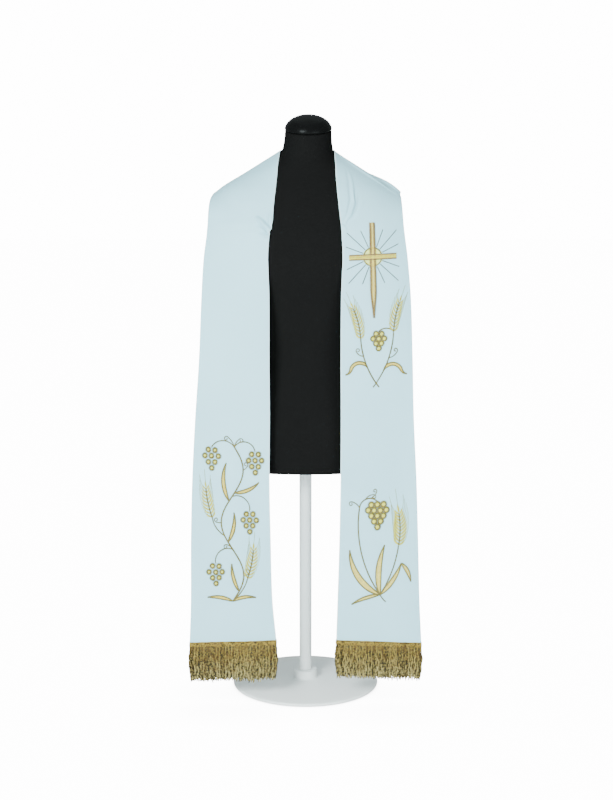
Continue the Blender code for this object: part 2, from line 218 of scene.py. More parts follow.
def distances_along(points: np.ndarray) -> np.ndarray:
    """How far along an open line each of its points is."""
    steps = np.linalg.norm(np.diff(points, axis=0), axis=1)
    return np.concatenate([[0.0], np.cumsum(steps)])


def smooth_noise(places: np.ndarray, seed: int, size: float) -> np.ndarray:
    """Even, repeatable noise along a line.

    Args:
        places: where it is wanted.
        seed: which noise.
        size: the length of one bump, in the places' own units.

    Returns:
        Values from -1 to 1 that turn smoothly into each other.
    """
    count = 4096
    values = np.random.default_rng(seed).uniform(-1, 1, count)
    steps = places / size
    low = np.floor(steps).astype(int)
    share = steps - low
    blend = share * share * (3 - 2 * share)
    return values[low % count] * (1 - blend) + values[(low + 1) % count] * blend


class FormShape:
    """The dress form's surface as a formula, so that cloth can be kept off it."""

    table = Table(FORM_COLUMNS, FORM_LEVELS)
    bottom = FORM_LEVELS[0][0]
    top = FORM_LEVELS[-1][0]

    def level(self, height: Any) -> tuple[np.ndarray, ...]:
        """The form's sections.

        Args:
            height: one height or an array of them.

        Returns:
            The centre's x and y, the half sizes along x and y, the exponent and the tilt.
        """
        row = self.table.at(height)
        middle = (row["front"] + row["back"]) / 2
        half_depth = (row["back"] - row["front"]) / 2
        tilt = np.radians(row["tilt"])
        return row["centre"], middle, row["half_width"], half_depth, row["squareness"], tilt

    def share(self, points: np.ndarray) -> np.ndarray:
        """How far out points are in their level.

        Args:
            points: places in millimetres.

        Returns:
            1 for a point on the surface, less for one inside.
        """
        centre, middle, half_width, half_depth, power, _ = self.level(points[..., 2])
        across = np.abs(points[..., 0] - centre) / half_width
        along = np.abs(points[..., 1] - middle) / half_depth
        return (across**power + along**power) ** (1 / power)

    def distance(self, points: np.ndarray) -> tuple[np.ndarray, np.ndarray]:
        """How far from the surface points are.

        Args:
            points: places in millimetres.

        Returns:
            Their distances, closely, and the directions straight out.
        """
        step = 0.5
        slopes = []
        for axis in np.eye(3):
            slopes.append((self.share(points + axis * step) - self.share(points - axis * step)) / (2 * step))
        slope = np.stack(slopes, axis=-1)
        return (self.share(points) - 1) / np.linalg.norm(slope, axis=-1), unit(slope)

    def keep_off(self, points: np.ndarray) -> np.ndarray:
        """Move points straight out to the cloth's clearance, with a soft blend where they leave.

        Args:
            points: places in millimetres.

        Returns:
            The moved points.
        """
        distance, outward = self.distance(points)
        excess = distance - CLOTH_CLEARANCE
        wanted = CLOTH_CLEARANCE + (excess + np.hypot(excess, CONTACT_BLEND)) / 2
        for _ in range(3):
            points = points + outward * (wanted - distance)[..., None]
            distance, outward = self.distance(points)
        return points


FORM = FormShape()


@dataclass
class ClothSurface:
    """The worn surface of one half of the stole, as a grid of points in millimetres.

    side is 1 for the wearer's left and -1 for the right. Rows of points are hanging_step apart up
    to the station shaped_from, and shaped_step apart above it. The band is on the front up to the
    station front_until. A crease deeper than fold_from is shaded, fully fold_span further down.
    """

    name: str
    side: int
    sections: Sequence[Sequence[float]]
    creases: Sequence[Crease]
    hanging_step: float = 11.0
    shaped_step: float = 1.9
    shaped_from: float = 765.0
    front_until: float = 900.0
    columns: int = 80
    edge_crowding: float = 0.4
    sway: float = 1.3
    sway_length: float = 620.0
    sway_slant: float = 1.1
    sway_start: float = 0.3
    fold_from: float = 1.5
    fold_span: float = 7.0
    band: Table = field(init=False)
    stations: np.ndarray = field(init=False)
    across: np.ndarray = field(init=False)
    inside: np.ndarray = field(init=False)
    normals: np.ndarray = field(init=False)
    face: np.ndarray = field(init=False)
    folded: np.ndarray = field(init=False)

    def __post_init__(self) -> None:
        """Work out the grid."""
        self.band = Table(BAND_COLUMNS, self.sections)
        end = self.sections[-1][0]
        hanging = np.linspace(0, self.shaped_from, round(self.shaped_from / self.hanging_step) + 1)
        shaped = np.linspace(self.shaped_from, end, round((end - self.shaped_from) / self.shaped_step) + 1)
        self.stations = np.concatenate([hanging, shaped[1:]])
        even = np.linspace(0, 1, self.columns)
        self.across = even - self.edge_crowding * np.sin(2 * np.pi * even) / (2 * np.pi)
        self.inside = self.worn_points()
        along = np.gradient(self.inside, axis=0)
        sideways = np.gradient(self.inside, axis=1)
        self.normals = unit(np.cross(sideways, along)) * self.side
        self.face = self.inside + self.normals * CLOTH_THICKNESS

    def edges(self, stations: np.ndarray) -> tuple[np.ndarray, np.ndarray, np.ndarray]:
        """The band's edges on the +X side.

        Args:
            stations: places along the band.

        Returns:
            The inner edge's points, the outer edge's points and the bow between them.
        """
        row = self.band.at(stations)
        inner = np.stack([row["inner_x"], row["inner_y"], row["inner_z"]], axis=-1)
        outer = np.stack([row["outer_x"], row["outer_y"], row["outer_z"]], axis=-1)
        return inner, outer, row["bow"]

    def crease_lift(self, widths: np.ndarray) -> np.ndarray:
        """How far the creases lift the cloth.

        Args:
            widths: the band's width at each station.

        Returns:
            The lift at each point of the grid.
        """
        faded = 0.12
        place = np.stack(np.broadcast_arrays(self.stations[:, None], self.across * widths[:, None]), axis=-1)
        lift = np.zeros(place.shape[:2])
        for crease in self.creases:
            nearest = np.full(lift.shape, np.inf)
            progress = np.zeros(lift.shape)
            pairs = list(zip(crease.points, crease.points[1:]))
            for k, ((start, start_across), (end, end_across)) in enumerate(pairs):
                mean_width = np.interp((start + end) / 2, self.stations, widths)
                first = np.array([start, start_across * mean_width])
                run = np.array([end, end_across * mean_width]) - first
                share = np.clip((place - first) @ run / (run @ run), 0, 1)
                aside = np.linalg.norm(place - first - share[..., None] * run, axis=-1)
                progress = np.where(aside < nearest, (k + share) / len(pairs), progress)
                nearest = np.minimum(nearest, aside)
            taper = np.sin(np.pi * (faded + (1 - 2 * faded) * progress))
            lift += crease.height * taper * np.exp(-((nearest / crease.half_width) ** 2))
        return lift

    def worn_points(self) -> np.ndarray:
        """Shape the cloth's inside, with its bow, creases and slow sway, and keep it off the form.

        Returns:
            The grid's points.
        """
        step = 5.0
        inner, outer, bow = self.edges(self.stations)
        ahead = self.edges(self.stations + step)
        behind = self.edges(self.stations - step)
        along = ahead[0] + ahead[1] - behind[0] - behind[1]
        outward = unit(np.cross(outer - inner, along))
        widths = np.linalg.norm(outer - inner, axis=-1)
        creased = self.crease_lift(widths)
        # how deep each point lies in a crease trough, for the cloth's painted shade there
        self.folded = np.clip((-creased - self.fold_from) / self.fold_span, 0, 1)
        lift = bow[:, None] * 4 * self.across * (1 - self.across) + creased
        hang = np.clip(1 - self.stations / self.shaped_from, 0, 1)[:, None]
        wave = self.stations[:, None] / self.sway_length + self.across * self.sway_slant
        wave = wave + (self.sway_start if self.side > 0 else 0.0)
        lift += self.sway * hang * np.sin(2 * np.pi * wave)
        points = inner[:, None] + (outer - inner)[:, None] * self.across[:, None]
        points = points + outward[:, None] * lift[..., None]
        points[..., 0] *= self.side
        points = FORM.keep_off(points)
        points[-1, :, 0] = self.side * SEAM_GAP / 2
        return points

    def drop(self, x: np.ndarray, z: np.ndarray) -> tuple[np.ndarray, np.ndarray]:
        """The places on the cloth's face that are seen at some x and z from the front.

        Args:
            x: places across, in millimetres.
            z: heights, in millimetres.

        Returns:
            The points and the outward normals there.
        """
        front = self.stations < self.front_until
        middle = self.face[front][:, self.columns // 2, 2]
        row = np.interp(z, middle, np.arange(len(middle)))
        column = np.full_like(row, self.columns / 2)
        for _ in range(12):
            point = self.sample(self.face, row, column)
            down = self.sample(self.face, row + 0.5, column) - self.sample(self.face, row - 0.5, column)
            aside = self.sample(self.face, row, column + 0.5) - self.sample(self.face, row, column - 0.5)
            row = row + (z - point[:, 2]) / down[:, 2]
            column = column + (x - point[:, 0]) / aside[:, 0]
        return self.sample(self.face, row, column), unit(self.sample(self.normals, row, column))

    def sample(self, grid: np.ndarray, row: np.ndarray, column: np.ndarray) -> np.ndarray:
        """Values of a grid between its points.

        Args:
            grid: a vector at each station and column.
            row: places along the stations, counted in rows.
            column: places across, counted in columns.

        Returns:
            The vectors there.
        """
        margin = 1.001
        row = np.clip(row, 0, len(self.stations) - margin)
        column = np.clip(column, 0, self.columns - margin)
        i, j = row.astype(int), column.astype(int)
        a, b = (row - i)[:, None], (column - j)[:, None]
        low = grid[i, j] * (1 - b) + grid[i, j + 1] * b
        high = grid[i + 1, j] * (1 - b) + grid[i + 1, j + 1] * b
        return low * (1 - a) + high * a


# ---- Meshes ----
def new_piece(
    name: str,
    points: np.ndarray,
    faces: Sequence[Sequence[int]],
    material: bpy.types.Material,
    uv: np.ndarray | None = None,
    sharp_angle: float = 40.0,
) -> bpy.types.Object:
    """A smooth-shaded mesh object at the origin.

    Args:
        name: the piece's name.
        points: its vertices in millimetres.
        faces: vertex numbers of each face, anticlockwise from outside.
        material: its finish.
        uv: a UV pair in metres for each face corner, in the faces' order.
        sharp_angle: edges sharper than this many degrees stay crisp.

    Returns:
        The new object, linked to the scene.
    """
    mesh = bpy.data.meshes.new(name)
    mesh.from_pydata((np.asarray(points) * MM).tolist(), [], faces)
    if uv is not None:
        layer = mesh.uv_layers.new(name="cloth")
        layer.data.foreach_set("uv", np.asarray(uv, np.float32).ravel())
    mesh.materials.append(material)
    mesh.validate()
    mesh.shade_smooth()
    mesh.set_sharp_from_angle(angle=math.radians(sharp_angle))
    piece = bpy.data.objects.new(name, mesh)
    bpy.context.scene.collection.objects.link(piece)
    return piece


def loft(rings: np.ndarray, ends: bool = True) -> list[Face]:
    """Faces through closed rings of points, each ring following the last.

    Args:
        rings: points shaped (rings, points in a ring, 3), anticlockwise seen from the last ring.
        ends: whether the first and last ring are closed with one face each.

    Returns:
        Vertex numbers for each face, for the rings' points in order.
    """
    count, size = rings.shape[:2]
    faces: list[Face] = []
    for i in range(count - 1):
        for k in range(size):
            after = (k + 1) % size
            faces.append((i * size + k, i * size + after, (i + 1) * size + after, (i + 1) * size + k))
    if ends:
        faces.append(tuple(reversed(range(size))))
        faces.append(tuple(range((count - 1) * size, count * size)))
    return faces


def distances_round(rings: np.ndarray) -> np.ndarray:
    """How far round its closed ring each point is, with the whole way round at the end."""
    gaps = np.linalg.norm(np.roll(rings, -1, axis=1) - rings, axis=-1)
    return np.concatenate([np.zeros((len(rings), 1)), np.cumsum(gaps, axis=1)], axis=1)


def loft_uv(around: np.ndarray, heights: np.ndarray) -> list[Point]:
    """UV pairs for the side faces of a loft.

    Args:
        around: how far round each ring its points are, with the whole way round at the end.
        heights: each ring's place along the loft.

    Returns:
        A pair for each corner, in the faces' order.
    """
    uv: list[Point] = []
    for i in range(len(around) - 1):
        low, high = heights[i], heights[i + 1]
        for k in range(around.shape[1] - 1):
            uv += [(around[i, k], low), (around[i, k + 1], low)]
            uv += [(around[i + 1, k + 1], high), (around[i + 1, k], high)]
    return uv


def turned(profile: Sequence[Point], sides: int) -> tuple[np.ndarray, list[Face]]:
    """A solid turned about Z from (radius, height) points, top to bottom.

    Args:
        profile: the outline, whose first and last points lie on the axis.
        sides: how many steps go round.

    Returns:
        The points and the faces, with one point at each pole.
    """
    turn = np.linspace(0, 2 * np.pi, sides, endpoint=False)
    rings = [[(r * math.cos(t), r * math.sin(t), h) for t in turn] for r, h in profile[1:-1]]
    points = [(0.0, 0.0, profile[0][1])] + [p for ring in rings for p in ring] + [(0.0, 0.0, profile[-1][1])]
    faces: list[Face] = []
    for k in range(sides):
        after = (k + 1) % sides
        faces.append((0, 1 + k, 1 + after))
        for i in range(len(rings) - 1):
            here, below = 1 + i * sides, 1 + (i + 1) * sides
            faces.append((here + k, below + k, below + after, here + after))
        foot = 1 + (len(rings) - 1) * sides
        faces.append((foot + k, len(points) - 1, foot + after))
    return np.array(points), faces


def arc(centre: Point, radii: Point, first: float, last: float, steps: int) -> list[Point]:
    """Points on an ellipse or part of one, from one angle in degrees to another."""
    angles = np.radians(np.linspace(first, last, steps + 1))
    return [(centre[0] + radii[0] * math.cos(a), centre[1] + radii[1] * math.sin(a)) for a in angles]


# ---- Node trees ----
class Value:
    """A node's output that takes part in arithmetic."""

    def __init__(self, tree: "Tree", socket: bpy.types.NodeSocket | None) -> None:
        """Wrap one socket of a tree; the last node of a tree has none."""
        self.tree = tree
        self.socket = socket

    def maths(self, operation: str, *others: Any, swapped: bool = False) -> "Value":
        """This value with others through a Math node."""
        terms = [*others, self] if swapped else [self, *others]
        return self.tree.node("ShaderNodeMath", {"operation": operation}, dict(enumerate(terms)))

    def __add__(self, other: Any) -> "Value":
        """The sum."""
        return self.maths("ADD", other)

    def __sub__(self, other: Any) -> "Value":
        """The difference."""
        return self.maths("SUBTRACT", other)

    def __rsub__(self, other: Any) -> "Value":
        """The difference the other way round."""
        return self.maths("SUBTRACT", other, swapped=True)

    def __mul__(self, other: Any) -> "Value":
        """The product."""
        return self.maths("MULTIPLY", other)

    __radd__ = __add__
    __rmul__ = __mul__

    def sine(self) -> "Value":
        """The sine, of an angle in radians."""
        return self.maths("SINE")


class Tree:
    """A node tree under construction: one method makes every node."""

    def __init__(self, nodes: bpy.types.NodeTree) -> None:
        """Start from an empty tree."""
        self.nodes = nodes
        nodes.nodes.clear()

    def node(
        self,
        kind: str,
        settings: dict[str, Any] | None = None,
        inputs: dict[Any, Any] | None = None,
        output: Any = 0,
    ) -> Value:
        """Add a node.

        Args:
            kind: the node's type.
            settings: its properties, set first.
            inputs: a number, colour, data-block or Value for each socket, by its name or number.
            output: which of its outputs is wanted.

        Returns:
            That output.
        """
        made = self.nodes.nodes.new(kind)
        for name, value in (settings or {}).items():
            setattr(made, name, value)
        for key, value in (inputs or {}).items():
            if isinstance(value, Value):
                self.nodes.links.new(value.socket, made.inputs[key])
            else:
                made.inputs[key].default_value = value
        return Value(self, made.outputs[output] if len(made.outputs) else None)


class Surface(Tree):
    """A material's node tree."""

    def __init__(self, name: str) -> None:
        """Start a new material.

        Args:
            name: its name.
        """
        self.material = bpy.data.materials.new(name)
        self.material.use_nodes = True
        super().__init__(self.material.node_tree)

    def coordinates(self, kind: str = "Object") -> Value:
        """Object or UV coordinates."""
        return self.node("ShaderNodeTexCoord", output=kind)

    def attribute(self, name: str) -> Value:
        """A number stored on the piece."""
        return self.node("ShaderNodeAttribute", {"attribute_name": name}, {}, "Fac")

    def stretched(self, vector: Value, factors: Place) -> Value:
        """A vector with each part multiplied by its own factor."""
        return self.node("ShaderNodeVectorMath", {"operation": "MULTIPLY"}, {0: vector, 1: factors})

    def parts(self, vector: Value) -> list[Value]:
        """The three parts of a vector."""
        split = self.node("ShaderNodeSeparateXYZ", {}, {0: vector})
        return [Value(self, socket) for socket in split.socket.node.outputs]

    def mix(self, share: Any, first: Any, second: Any) -> Value:
        """Turn one colour into another.

        Args:
            share: how much of the second shows, from 0 to 1.
            first: a colour or a Value.
            second: a colour or a Value.

        Returns:
            The mixed colour.
        """
        first = (*first, 1.0) if isinstance(first, tuple) else first
        second = (*second, 1.0) if isinstance(second, tuple) else second
        settings = {"data_type": "RGBA", "clamp_factor": True}
        return self.node("ShaderNodeMix", settings, {0: share, 6: first, 7: second}, 2)

    def noise(self, where: Value, scale: float, detail: float) -> Value:
        """Soft noise from 0 to 1 at some coordinates."""
        return self.node("ShaderNodeTexNoise", {}, {"Vector": where, "Scale": scale, "Detail": detail}, "Fac")

    def bump(self, height: Any, depth: float, strength: float, below: Value | None = None) -> Value:
        """Bend the normal by a height.

        Args:
            height: from 0 to 1.
            depth: how deep a height of 1 is, in metres.
            strength: how strongly it shows.
            below: a coarser bump's normal that this one rides on.

        Returns:
            The bent normal.
        """
        inputs = {"Height": height, "Distance": depth, "Strength": strength}
        if below is not None:
            inputs["Normal"] = below
        return self.node("ShaderNodeBump", {}, inputs)

    def finish(self, sockets: dict[str, Any]) -> bpy.types.Material:
        """Close the tree with a Principled surface.

        Args:
            sockets: a number, colour or Value for each of its named sockets.

        Returns:
            The finished material.
        """
        shader = self.node("ShaderNodeBsdfPrincipled", {}, sockets)
        self.node("ShaderNodeOutputMaterial", {}, {"Surface": shader})
        return self.material


# ---- Finishes ----
@dataclass(frozen=True)
class VestmentCloth:
    """Smooth pale cloth with a fine twill and a low satin sheen."""

    colour: Colour = (0.437, 0.748, 0.848)
    shade: Colour = (0.398, 0.693, 0.788)
    # a painted highlight along the band's turned inner edge
    painted_edge_highlight: Colour = (0.80, 0.90, 0.93)
    # a painted shade in the crease troughs
    folded: Colour = (0.19, 0.335, 0.385)
    thread: float = 0.00045
    weave_depth: float = 0.00008
    crumple_depth: float = 0.0008

    def material(self) -> bpy.types.Material:
        """Build it. The twill follows the UV map, in metres.

        Where the attribute edge is 1 the cloth is painted lighter, a painted highlight along its turned
        edge, and where fold is 1 it is painted darker, a painted shade in a fold.

        Returns:
            The material.
        """
        surface = Surface("ice_white_cloth")
        uv = surface.coordinates("UV")
        across, along, _ = surface.parts(uv)
        slub = surface.noise(surface.stretched(uv, (220.0, 1900.0, 1.0)), 1.0, 2.0)
        turn = 2 * math.pi / self.thread
        twill = ((across + along * 0.5) * turn).sine() * 0.3 + (along * (turn * 0.5)).sine() * 0.2
        cloud = surface.noise(surface.coordinates(), 7.0, 3.0)
        weave = surface.bump(twill + slub * 0.8, self.weave_depth, 0.6)
        crumple = surface.noise(surface.coordinates(), 34.0, 3.0)
        colour = surface.mix(cloud * 1.9 - 0.55 + slub * 0.35, self.colour, self.shade)
        # painted shade in the crease troughs, where the attribute fold is 1
        colour = surface.mix(surface.attribute("fold"), colour, self.folded)
        return surface.finish(
            {
                # painted highlight along the inner edge, where the attribute edge is 1
                "Base Color": surface.mix(surface.attribute("edge") * 0.8, colour, self.painted_edge_highlight),
                "Roughness": 0.5 + slub * 0.14,
                "Sheen Weight": 0.06,
                "Sheen Roughness": 0.4,
                "Specular IOR Level": 0.25,
                "Normal": surface.bump(crumple, self.crumple_depth, 0.22, weave),
            }
        )


@dataclass(frozen=True)
class MetalThread:
    """Embroidery or bullion thread: yarn wrapped in a thin gilt foil."""

    name: str
    light: Colour
    dark: Colour
    metallic: float
    roughness: float
    wrap: float = 0.0008
    wrap_depth: float = 0.00012
    # fleck is noise in the tone: the thread's own unevenness, and where large, as on the gilt, painted
    # sparkle
    fleck: float = 0.5
    coil: float = 0.0
    # warm patches: partly the gilt's own tone, partly painted glints
    warm: Colour = (0.22, 0.115, 0.022)
    warmth: float = 0.0
    # a pale painted highlight, mixed in towards a cord's lower end
    painted_tip_highlight: Colour = (0.62, 0.54, 0.27)
    tip_highlight_share: float = 0.0
    tip_highlight_over: float = 0.05

    def material(self) -> bpy.types.Material:
        """Build it. The piece's own tone attribute picks between the two colours.

        A cord's length and turn attributes carry the foil wound round it, coil metres apart, and the
        colour is painted lighter on the crowns of its turns and darker between them, a painted highlight
        and shade. Warm patches are partly the gilt's own uneven tone and partly painted glints. Along
        tip_highlight_over metres of it, the colour turns from warm to pale, a painted highlight towards the
        cord's lower end.

        Returns:
            The material.
        """
        surface = Surface(self.name)
        tone = surface.attribute("tone")
        where = surface.coordinates()
        patch = surface.noise(where, 300.0, 2.0)
        grain = surface.noise(where, 1.0 / self.wrap, 1.0)
        # noise flecks in the tone: uneven thread, and on the gilt painted sparkle
        share = tone + (patch - 0.5) * self.fleck
        colour = surface.mix(share, self.dark, self.light)
        height = grain
        if self.coil:
            run = surface.attribute("length")
            turn = run * (2 * math.pi / self.coil)
            across = surface.attribute("turn_cosine")
            height = turn.sine() * across + (turn + math.pi / 2).sine() * surface.attribute("turn_sine")
            glow = surface.noise(where, 95.0, 3.0) * 2.5 - 1.0
            down = run * (1 / self.tip_highlight_over)
            # painted highlight on the crowns of the foil's turns, painted shade between them
            twisted = surface.mix(share + height * 0.16, self.dark, self.light)
            # a pale painted highlight towards the cord's lower end
            paler = surface.mix((down - 0.3) * share * self.tip_highlight_share, twisted, self.painted_tip_highlight)
            # warm patches: partly the gilt's own tone, partly painted glints
            warm_tone_and_glint = (glow - down * self.tip_highlight_share + 0.4 * self.tip_highlight_share) * self.warmth
            colour = surface.mix(warm_tone_and_glint, paler, self.warm)
        return surface.finish(
            {
                "Base Color": colour,
                "Metallic": self.metallic + patch * 0.15,
                "Roughness": self.roughness + grain * 0.2,
                "Specular IOR Level": 0.5,
                "Normal": surface.bump(height, self.wrap_depth, 0.6),
            }
        )


@dataclass(frozen=True)
class FormJersey:
    """Matte black knitted cover of the dress form."""

    colour: Colour = (0.0051, 0.0048, 0.0047)
    faded: Colour = (0.0065, 0.0062, 0.0060)
    rib: float = 0.0012
    rib_depth: float = 0.00012

    def material(self) -> bpy.types.Material:
        """Build it. The ribs run up the form, along the UV map.

        Returns:
            The material.
        """
        surface = Surface("black_jersey")
        across, _, _ = surface.parts(surface.coordinates("UV"))
        ribs = (across * (2 * math.pi / self.rib)).sine() * 0.5 + 0.5
        lint = surface.noise(surface.coordinates(), 420.0, 2.0)
        cloud = surface.noise(surface.coordinates(), 9.0, 2.0)
        return surface.finish(
            {
                "Base Color": surface.mix(cloud * 0.7 + lint * 0.3, self.colour, self.faded),
                "Roughness": 0.82 + lint * 0.12,
                "Specular IOR Level": 0.02,
                "Normal": surface.bump(ribs * 0.6 + lint * 0.4, self.rib_depth, 0.5),
            }
        )


@dataclass(frozen=True)
class NeckLacquer:
    """Glossy black cap, faintly hazed."""

    colour: Colour = (0.0037, 0.0036, 0.0036)
    dusty: Colour = (0.0055, 0.0053, 0.0055)
    haze_depth: float = 0.0002

    def material(self) -> bpy.types.Material:
        """Build it.

        Returns:
            The material.
        """
        surface = Surface("black_lacquer")
        haze = surface.noise(surface.coordinates(), 60.0, 4.0)
        dust = surface.noise(surface.coordinates(), 900.0, 1.0)
        return surface.finish(
            {
                "Base Color": surface.mix(dust * 0.3, self.colour, self.dusty),
                "Roughness": 0.22 + haze * 0.1,
                "Specular IOR Level": 0.035,
                "Normal": surface.bump(haze, self.haze_depth, 0.05),
            }
        )


@dataclass(frozen=True)
class PowderCoat:
    """White powder coat over steel, with its faint orange peel."""

    colour: Colour = (0.93, 0.925, 0.905)
    worn: Colour = (0.89, 0.885, 0.865)
    peel_depth: float = 0.0002

    def material(self) -> bpy.types.Material:
        """Build it.

        Returns:
            The material.
        """
        surface = Surface("white_steel")
        where = surface.coordinates()
        peel = surface.noise(where, 520.0, 2.0)
        wear = surface.noise(where, 14.0, 4.0)
        return surface.finish(
            {
                "Base Color": surface.mix(wear * 0.6, self.colour, self.worn),
                "Roughness": 0.34 + wear * 0.12,
                "Normal": surface.bump(peel, self.peel_depth, 0.25),
            }
        )


class Thread(Enum):
    """The embroidery's threads."""

    OUTLINE = MetalThread("outline_thread", (0.262, 0.212, 0.062), (0.145, 0.118, 0.034), 0.15, 0.45)
    BRONZE = MetalThread("bronze_thread", (0.30, 0.198, 0.078), (0.18, 0.120, 0.050), 0.1, 0.45)
    FILL = MetalThread("fill_thread", (0.94, 0.73, 0.16), (0.76, 0.58, 0.11), 0.05, 0.5)
    PALE = MetalThread("pale_thread", (0.96, 0.79, 0.21), (0.70, 0.55, 0.14), 0.05, 0.5)
    RAY = MetalThread("ray_thread", (0.165, 0.168, 0.14), (0.12, 0.12, 0.10), 0.1, 0.5)
    WHEAT = MetalThread("wheat_thread", (0.86, 0.80, 0.12), (0.54, 0.48, 0.07), 0.05, 0.5)
    CREAM = MetalThread("cream_thread", (0.99, 0.92, 0.11), (0.92, 0.82, 0.08), 0.0, 0.5)
    STRAW = MetalThread("straw_thread", (0.40, 0.37, 0.075), (0.26, 0.235, 0.048), 0.1, 0.5)


@dataclass(frozen=True)
class FinishBook:
    """Every material, made once."""

    cloth: bpy.types.Material
    bullion: bpy.types.Material
    braid: bpy.types.Material
    jersey: bpy.types.Material
    lacquer: bpy.types.Material
    steel: bpy.types.Material
    threads: dict[Thread, bpy.types.Material]


def make_finishes() -> FinishBook:
    """Build every material of the object.

    Returns:
        The finishes.
    """
    # on the gilt, strong flecks are painted sparkle, and warm patches partly painted glints
    gilt = {"metallic": 0.4, "roughness": 0.36, "coil": 0.0011, "fleck": 3.8}
    # the strands get a pale painted highlight towards their lower ends
    strand = {"light": (0.38, 0.275, 0.066), "dark": (0.034, 0.023, 0.006), "warmth": 0.6, "tip_highlight_share": 0.4}
    plait = {"light": (0.49, 0.335, 0.062), "dark": (0.050, 0.030, 0.005), "warmth": 0.55}
    bullion = MetalThread("gold_bullion", **strand, **gilt)
    braid = MetalThread("gold_braid", **plait, **gilt)
    return FinishBook(
        cloth=VestmentCloth().material(),
        bullion=bullion.material(),
        braid=braid.material(),
        jersey=FormJersey().material(),
        lacquer=NeckLacquer().material(),
        steel=PowderCoat().material(),
        threads={thread: thread.value.material() for thread in Thread},
    )


# ---- Geometry Nodes: stitches and twisted cords ----
class GeometryTree(Tree):
    """A Geometry Nodes group with named inputs."""

    def __init__(self, name: str, numbers: dict[str, float]) -> None:
        """Start a group.

        Args:
            name: its name.
            numbers: its number inputs with their defaults, beside Geometry and Material.
        """
        group = bpy.data.node_groups.new(name, "GeometryNodeTree")
        super().__init__(group)
        interface = group.interface
        interface.new_socket("Geometry", in_out="INPUT", socket_type="NodeSocketGeometry")
        for label, default in numbers.items():
            socket = interface.new_socket(label, in_out="INPUT", socket_type="NodeSocketFloat")
            socket.default_value = default
        interface.new_socket("Material", in_out="INPUT", socket_type="NodeSocketMaterial")
        interface.new_socket("Geometry", in_out="OUTPUT", socket_type="NodeSocketGeometry")
        self.entry = group.nodes.new("NodeGroupInput")

    def given(self, label: str) -> Value:
        """One of the group's named inputs."""
        return Value(self, self.entry.outputs[label])

    def named(self, attribute: str, kind: str = "FLOAT") -> Value:
        """A named attribute of the geometry."""
        settings = {"data_type": kind}
        return self.node("GeometryNodeInputNamedAttribute", settings, {"Name": attribute}, "Attribute")

    def stored(self, geometry: Value, attribute: str, number: Value) -> Value:
        """The geometry with a number kept at its points."""
        sockets = {"Geometry": geometry, "Name": attribute, "Value": number}
        return self.node("GeometryNodeStoreNamedAttribute", {"data_type": "FLOAT"}, sockets)

    def close(self, geometry: Value) -> bpy.types.NodeTree:
        """Realize the geometry, give it its material and end the group.

        Args:
            geometry: what the group makes.

        Returns:
            The finished group.
        """
        real = self.node("GeometryNodeRealizeInstances", {}, {"Geometry": geometry})
        smooth = self.node("GeometryNodeSetShadeSmooth", {}, {0: real})
        sockets = {"Geometry": smooth, "Material": self.given("Material")}
        made = self.node("GeometryNodeSetMaterial", {}, sockets)
        self.node("NodeGroupOutput", {}, {0: made})
        return self.nodes


def stitch_tree() -> bpy.types.NodeTree:
    """A group that sews one rounded stitch on each point.

    Returns:
        The group. A point's along and up vectors turn its stitch, and size gives its length,
        width and height.
    """
    tree = GeometryTree("sew_stitches", {"Arch": 0.9, "Fullness": 1.0})
    start, end = (-0.5, 0.0, 0.0), (0.5, 0.0, 0.0)
    middle = tree.node("ShaderNodeCombineXYZ", {}, {"Z": tree.given("Arch")})
    inputs = {"Resolution": 3, "Start": start, "Middle": middle, "End": end}
    line = tree.node("GeometryNodeCurveQuadraticBezier", {}, inputs)
    along = tree.node("GeometryNodeSplineParameter", {}, {}, "Factor")
    swell = along * (1 - along) * 4 * 0.6 + 0.4
    ring = tree.node("GeometryNodeCurvePrimitiveCircle", {"mode": "RADIUS"}, {"Resolution": 3, "Radius": 0.5})
    width = swell * tree.given("Fullness")
    body = {"Curve": line, "Profile Curve": ring, "Scale": width, "Fill Caps": True}
    stitch = tree.node("GeometryNodeCurveToMesh", {}, body)
    axes = {"primary_axis": "X", "secondary_axis": "Z"}
    vectors = {0: tree.named("along", "FLOAT_VECTOR"), 1: tree.named("up", "FLOAT_VECTOR")}
    turn = tree.node("FunctionNodeAxesToRotation", axes, vectors)
    sewn = {
        "Points": tree.given("Geometry"),
        "Instance": stitch,
        "Rotation": turn,
        "Scale": tree.named("size", "FLOAT_VECTOR"),
    }
    return tree.close(tree.node("GeometryNodeInstanceOnPoints", {}, sewn))


def cord_tree() -> bpy.types.NodeTree:
    """A group that lays a cord of three twisted plies along each line of edges.

    Returns:
        The group. A point's thickness is the cord's radius there.
    """
    tree = GeometryTree("twist_cords", {"Step": 0.0012, "Turns per metre": 85.0, "Groove": 0.6})
    line = tree.node("GeometryNodeMeshToCurve", {}, {"Mesh": tree.given("Geometry")})
    spacing = {"Curve": line, "Length": tree.given("Step")}
    fine = tree.node("GeometryNodeResampleCurve", {"mode": "LENGTH"}, spacing)
    length = tree.node("GeometryNodeSplineParameter", {}, {}, "Length")
    angle = length * tree.given("Turns per metre") * (2 * math.pi) + tree.named("phase")
    turned_line = tree.node("GeometryNodeSetCurveTilt", {}, {"Curve": fine, "Tilt": angle})
    turned_line = tree.stored(turned_line, "length", length)
    star = {"Points": 3, "Inner Radius": tree.given("Groove"), "Outer Radius": 1.0}
    plies = tree.node("GeometryNodeCurveStar", {}, star)
    round_profile = tree.node("GeometryNodeSplineParameter", {}, {}, "Factor") * (2 * math.pi)
    plies = tree.stored(plies, "turn_cosine", (round_profile + math.pi / 2).sine())
    plies = tree.stored(plies, "turn_sine", round_profile.sine())
    radius = tree.named("thickness")
    cord = {"Curve": turned_line, "Profile Curve": plies, "Scale": radius, "Fill Caps": True}
    return tree.close(tree.node("GeometryNodeCurveToMesh", {}, cord))


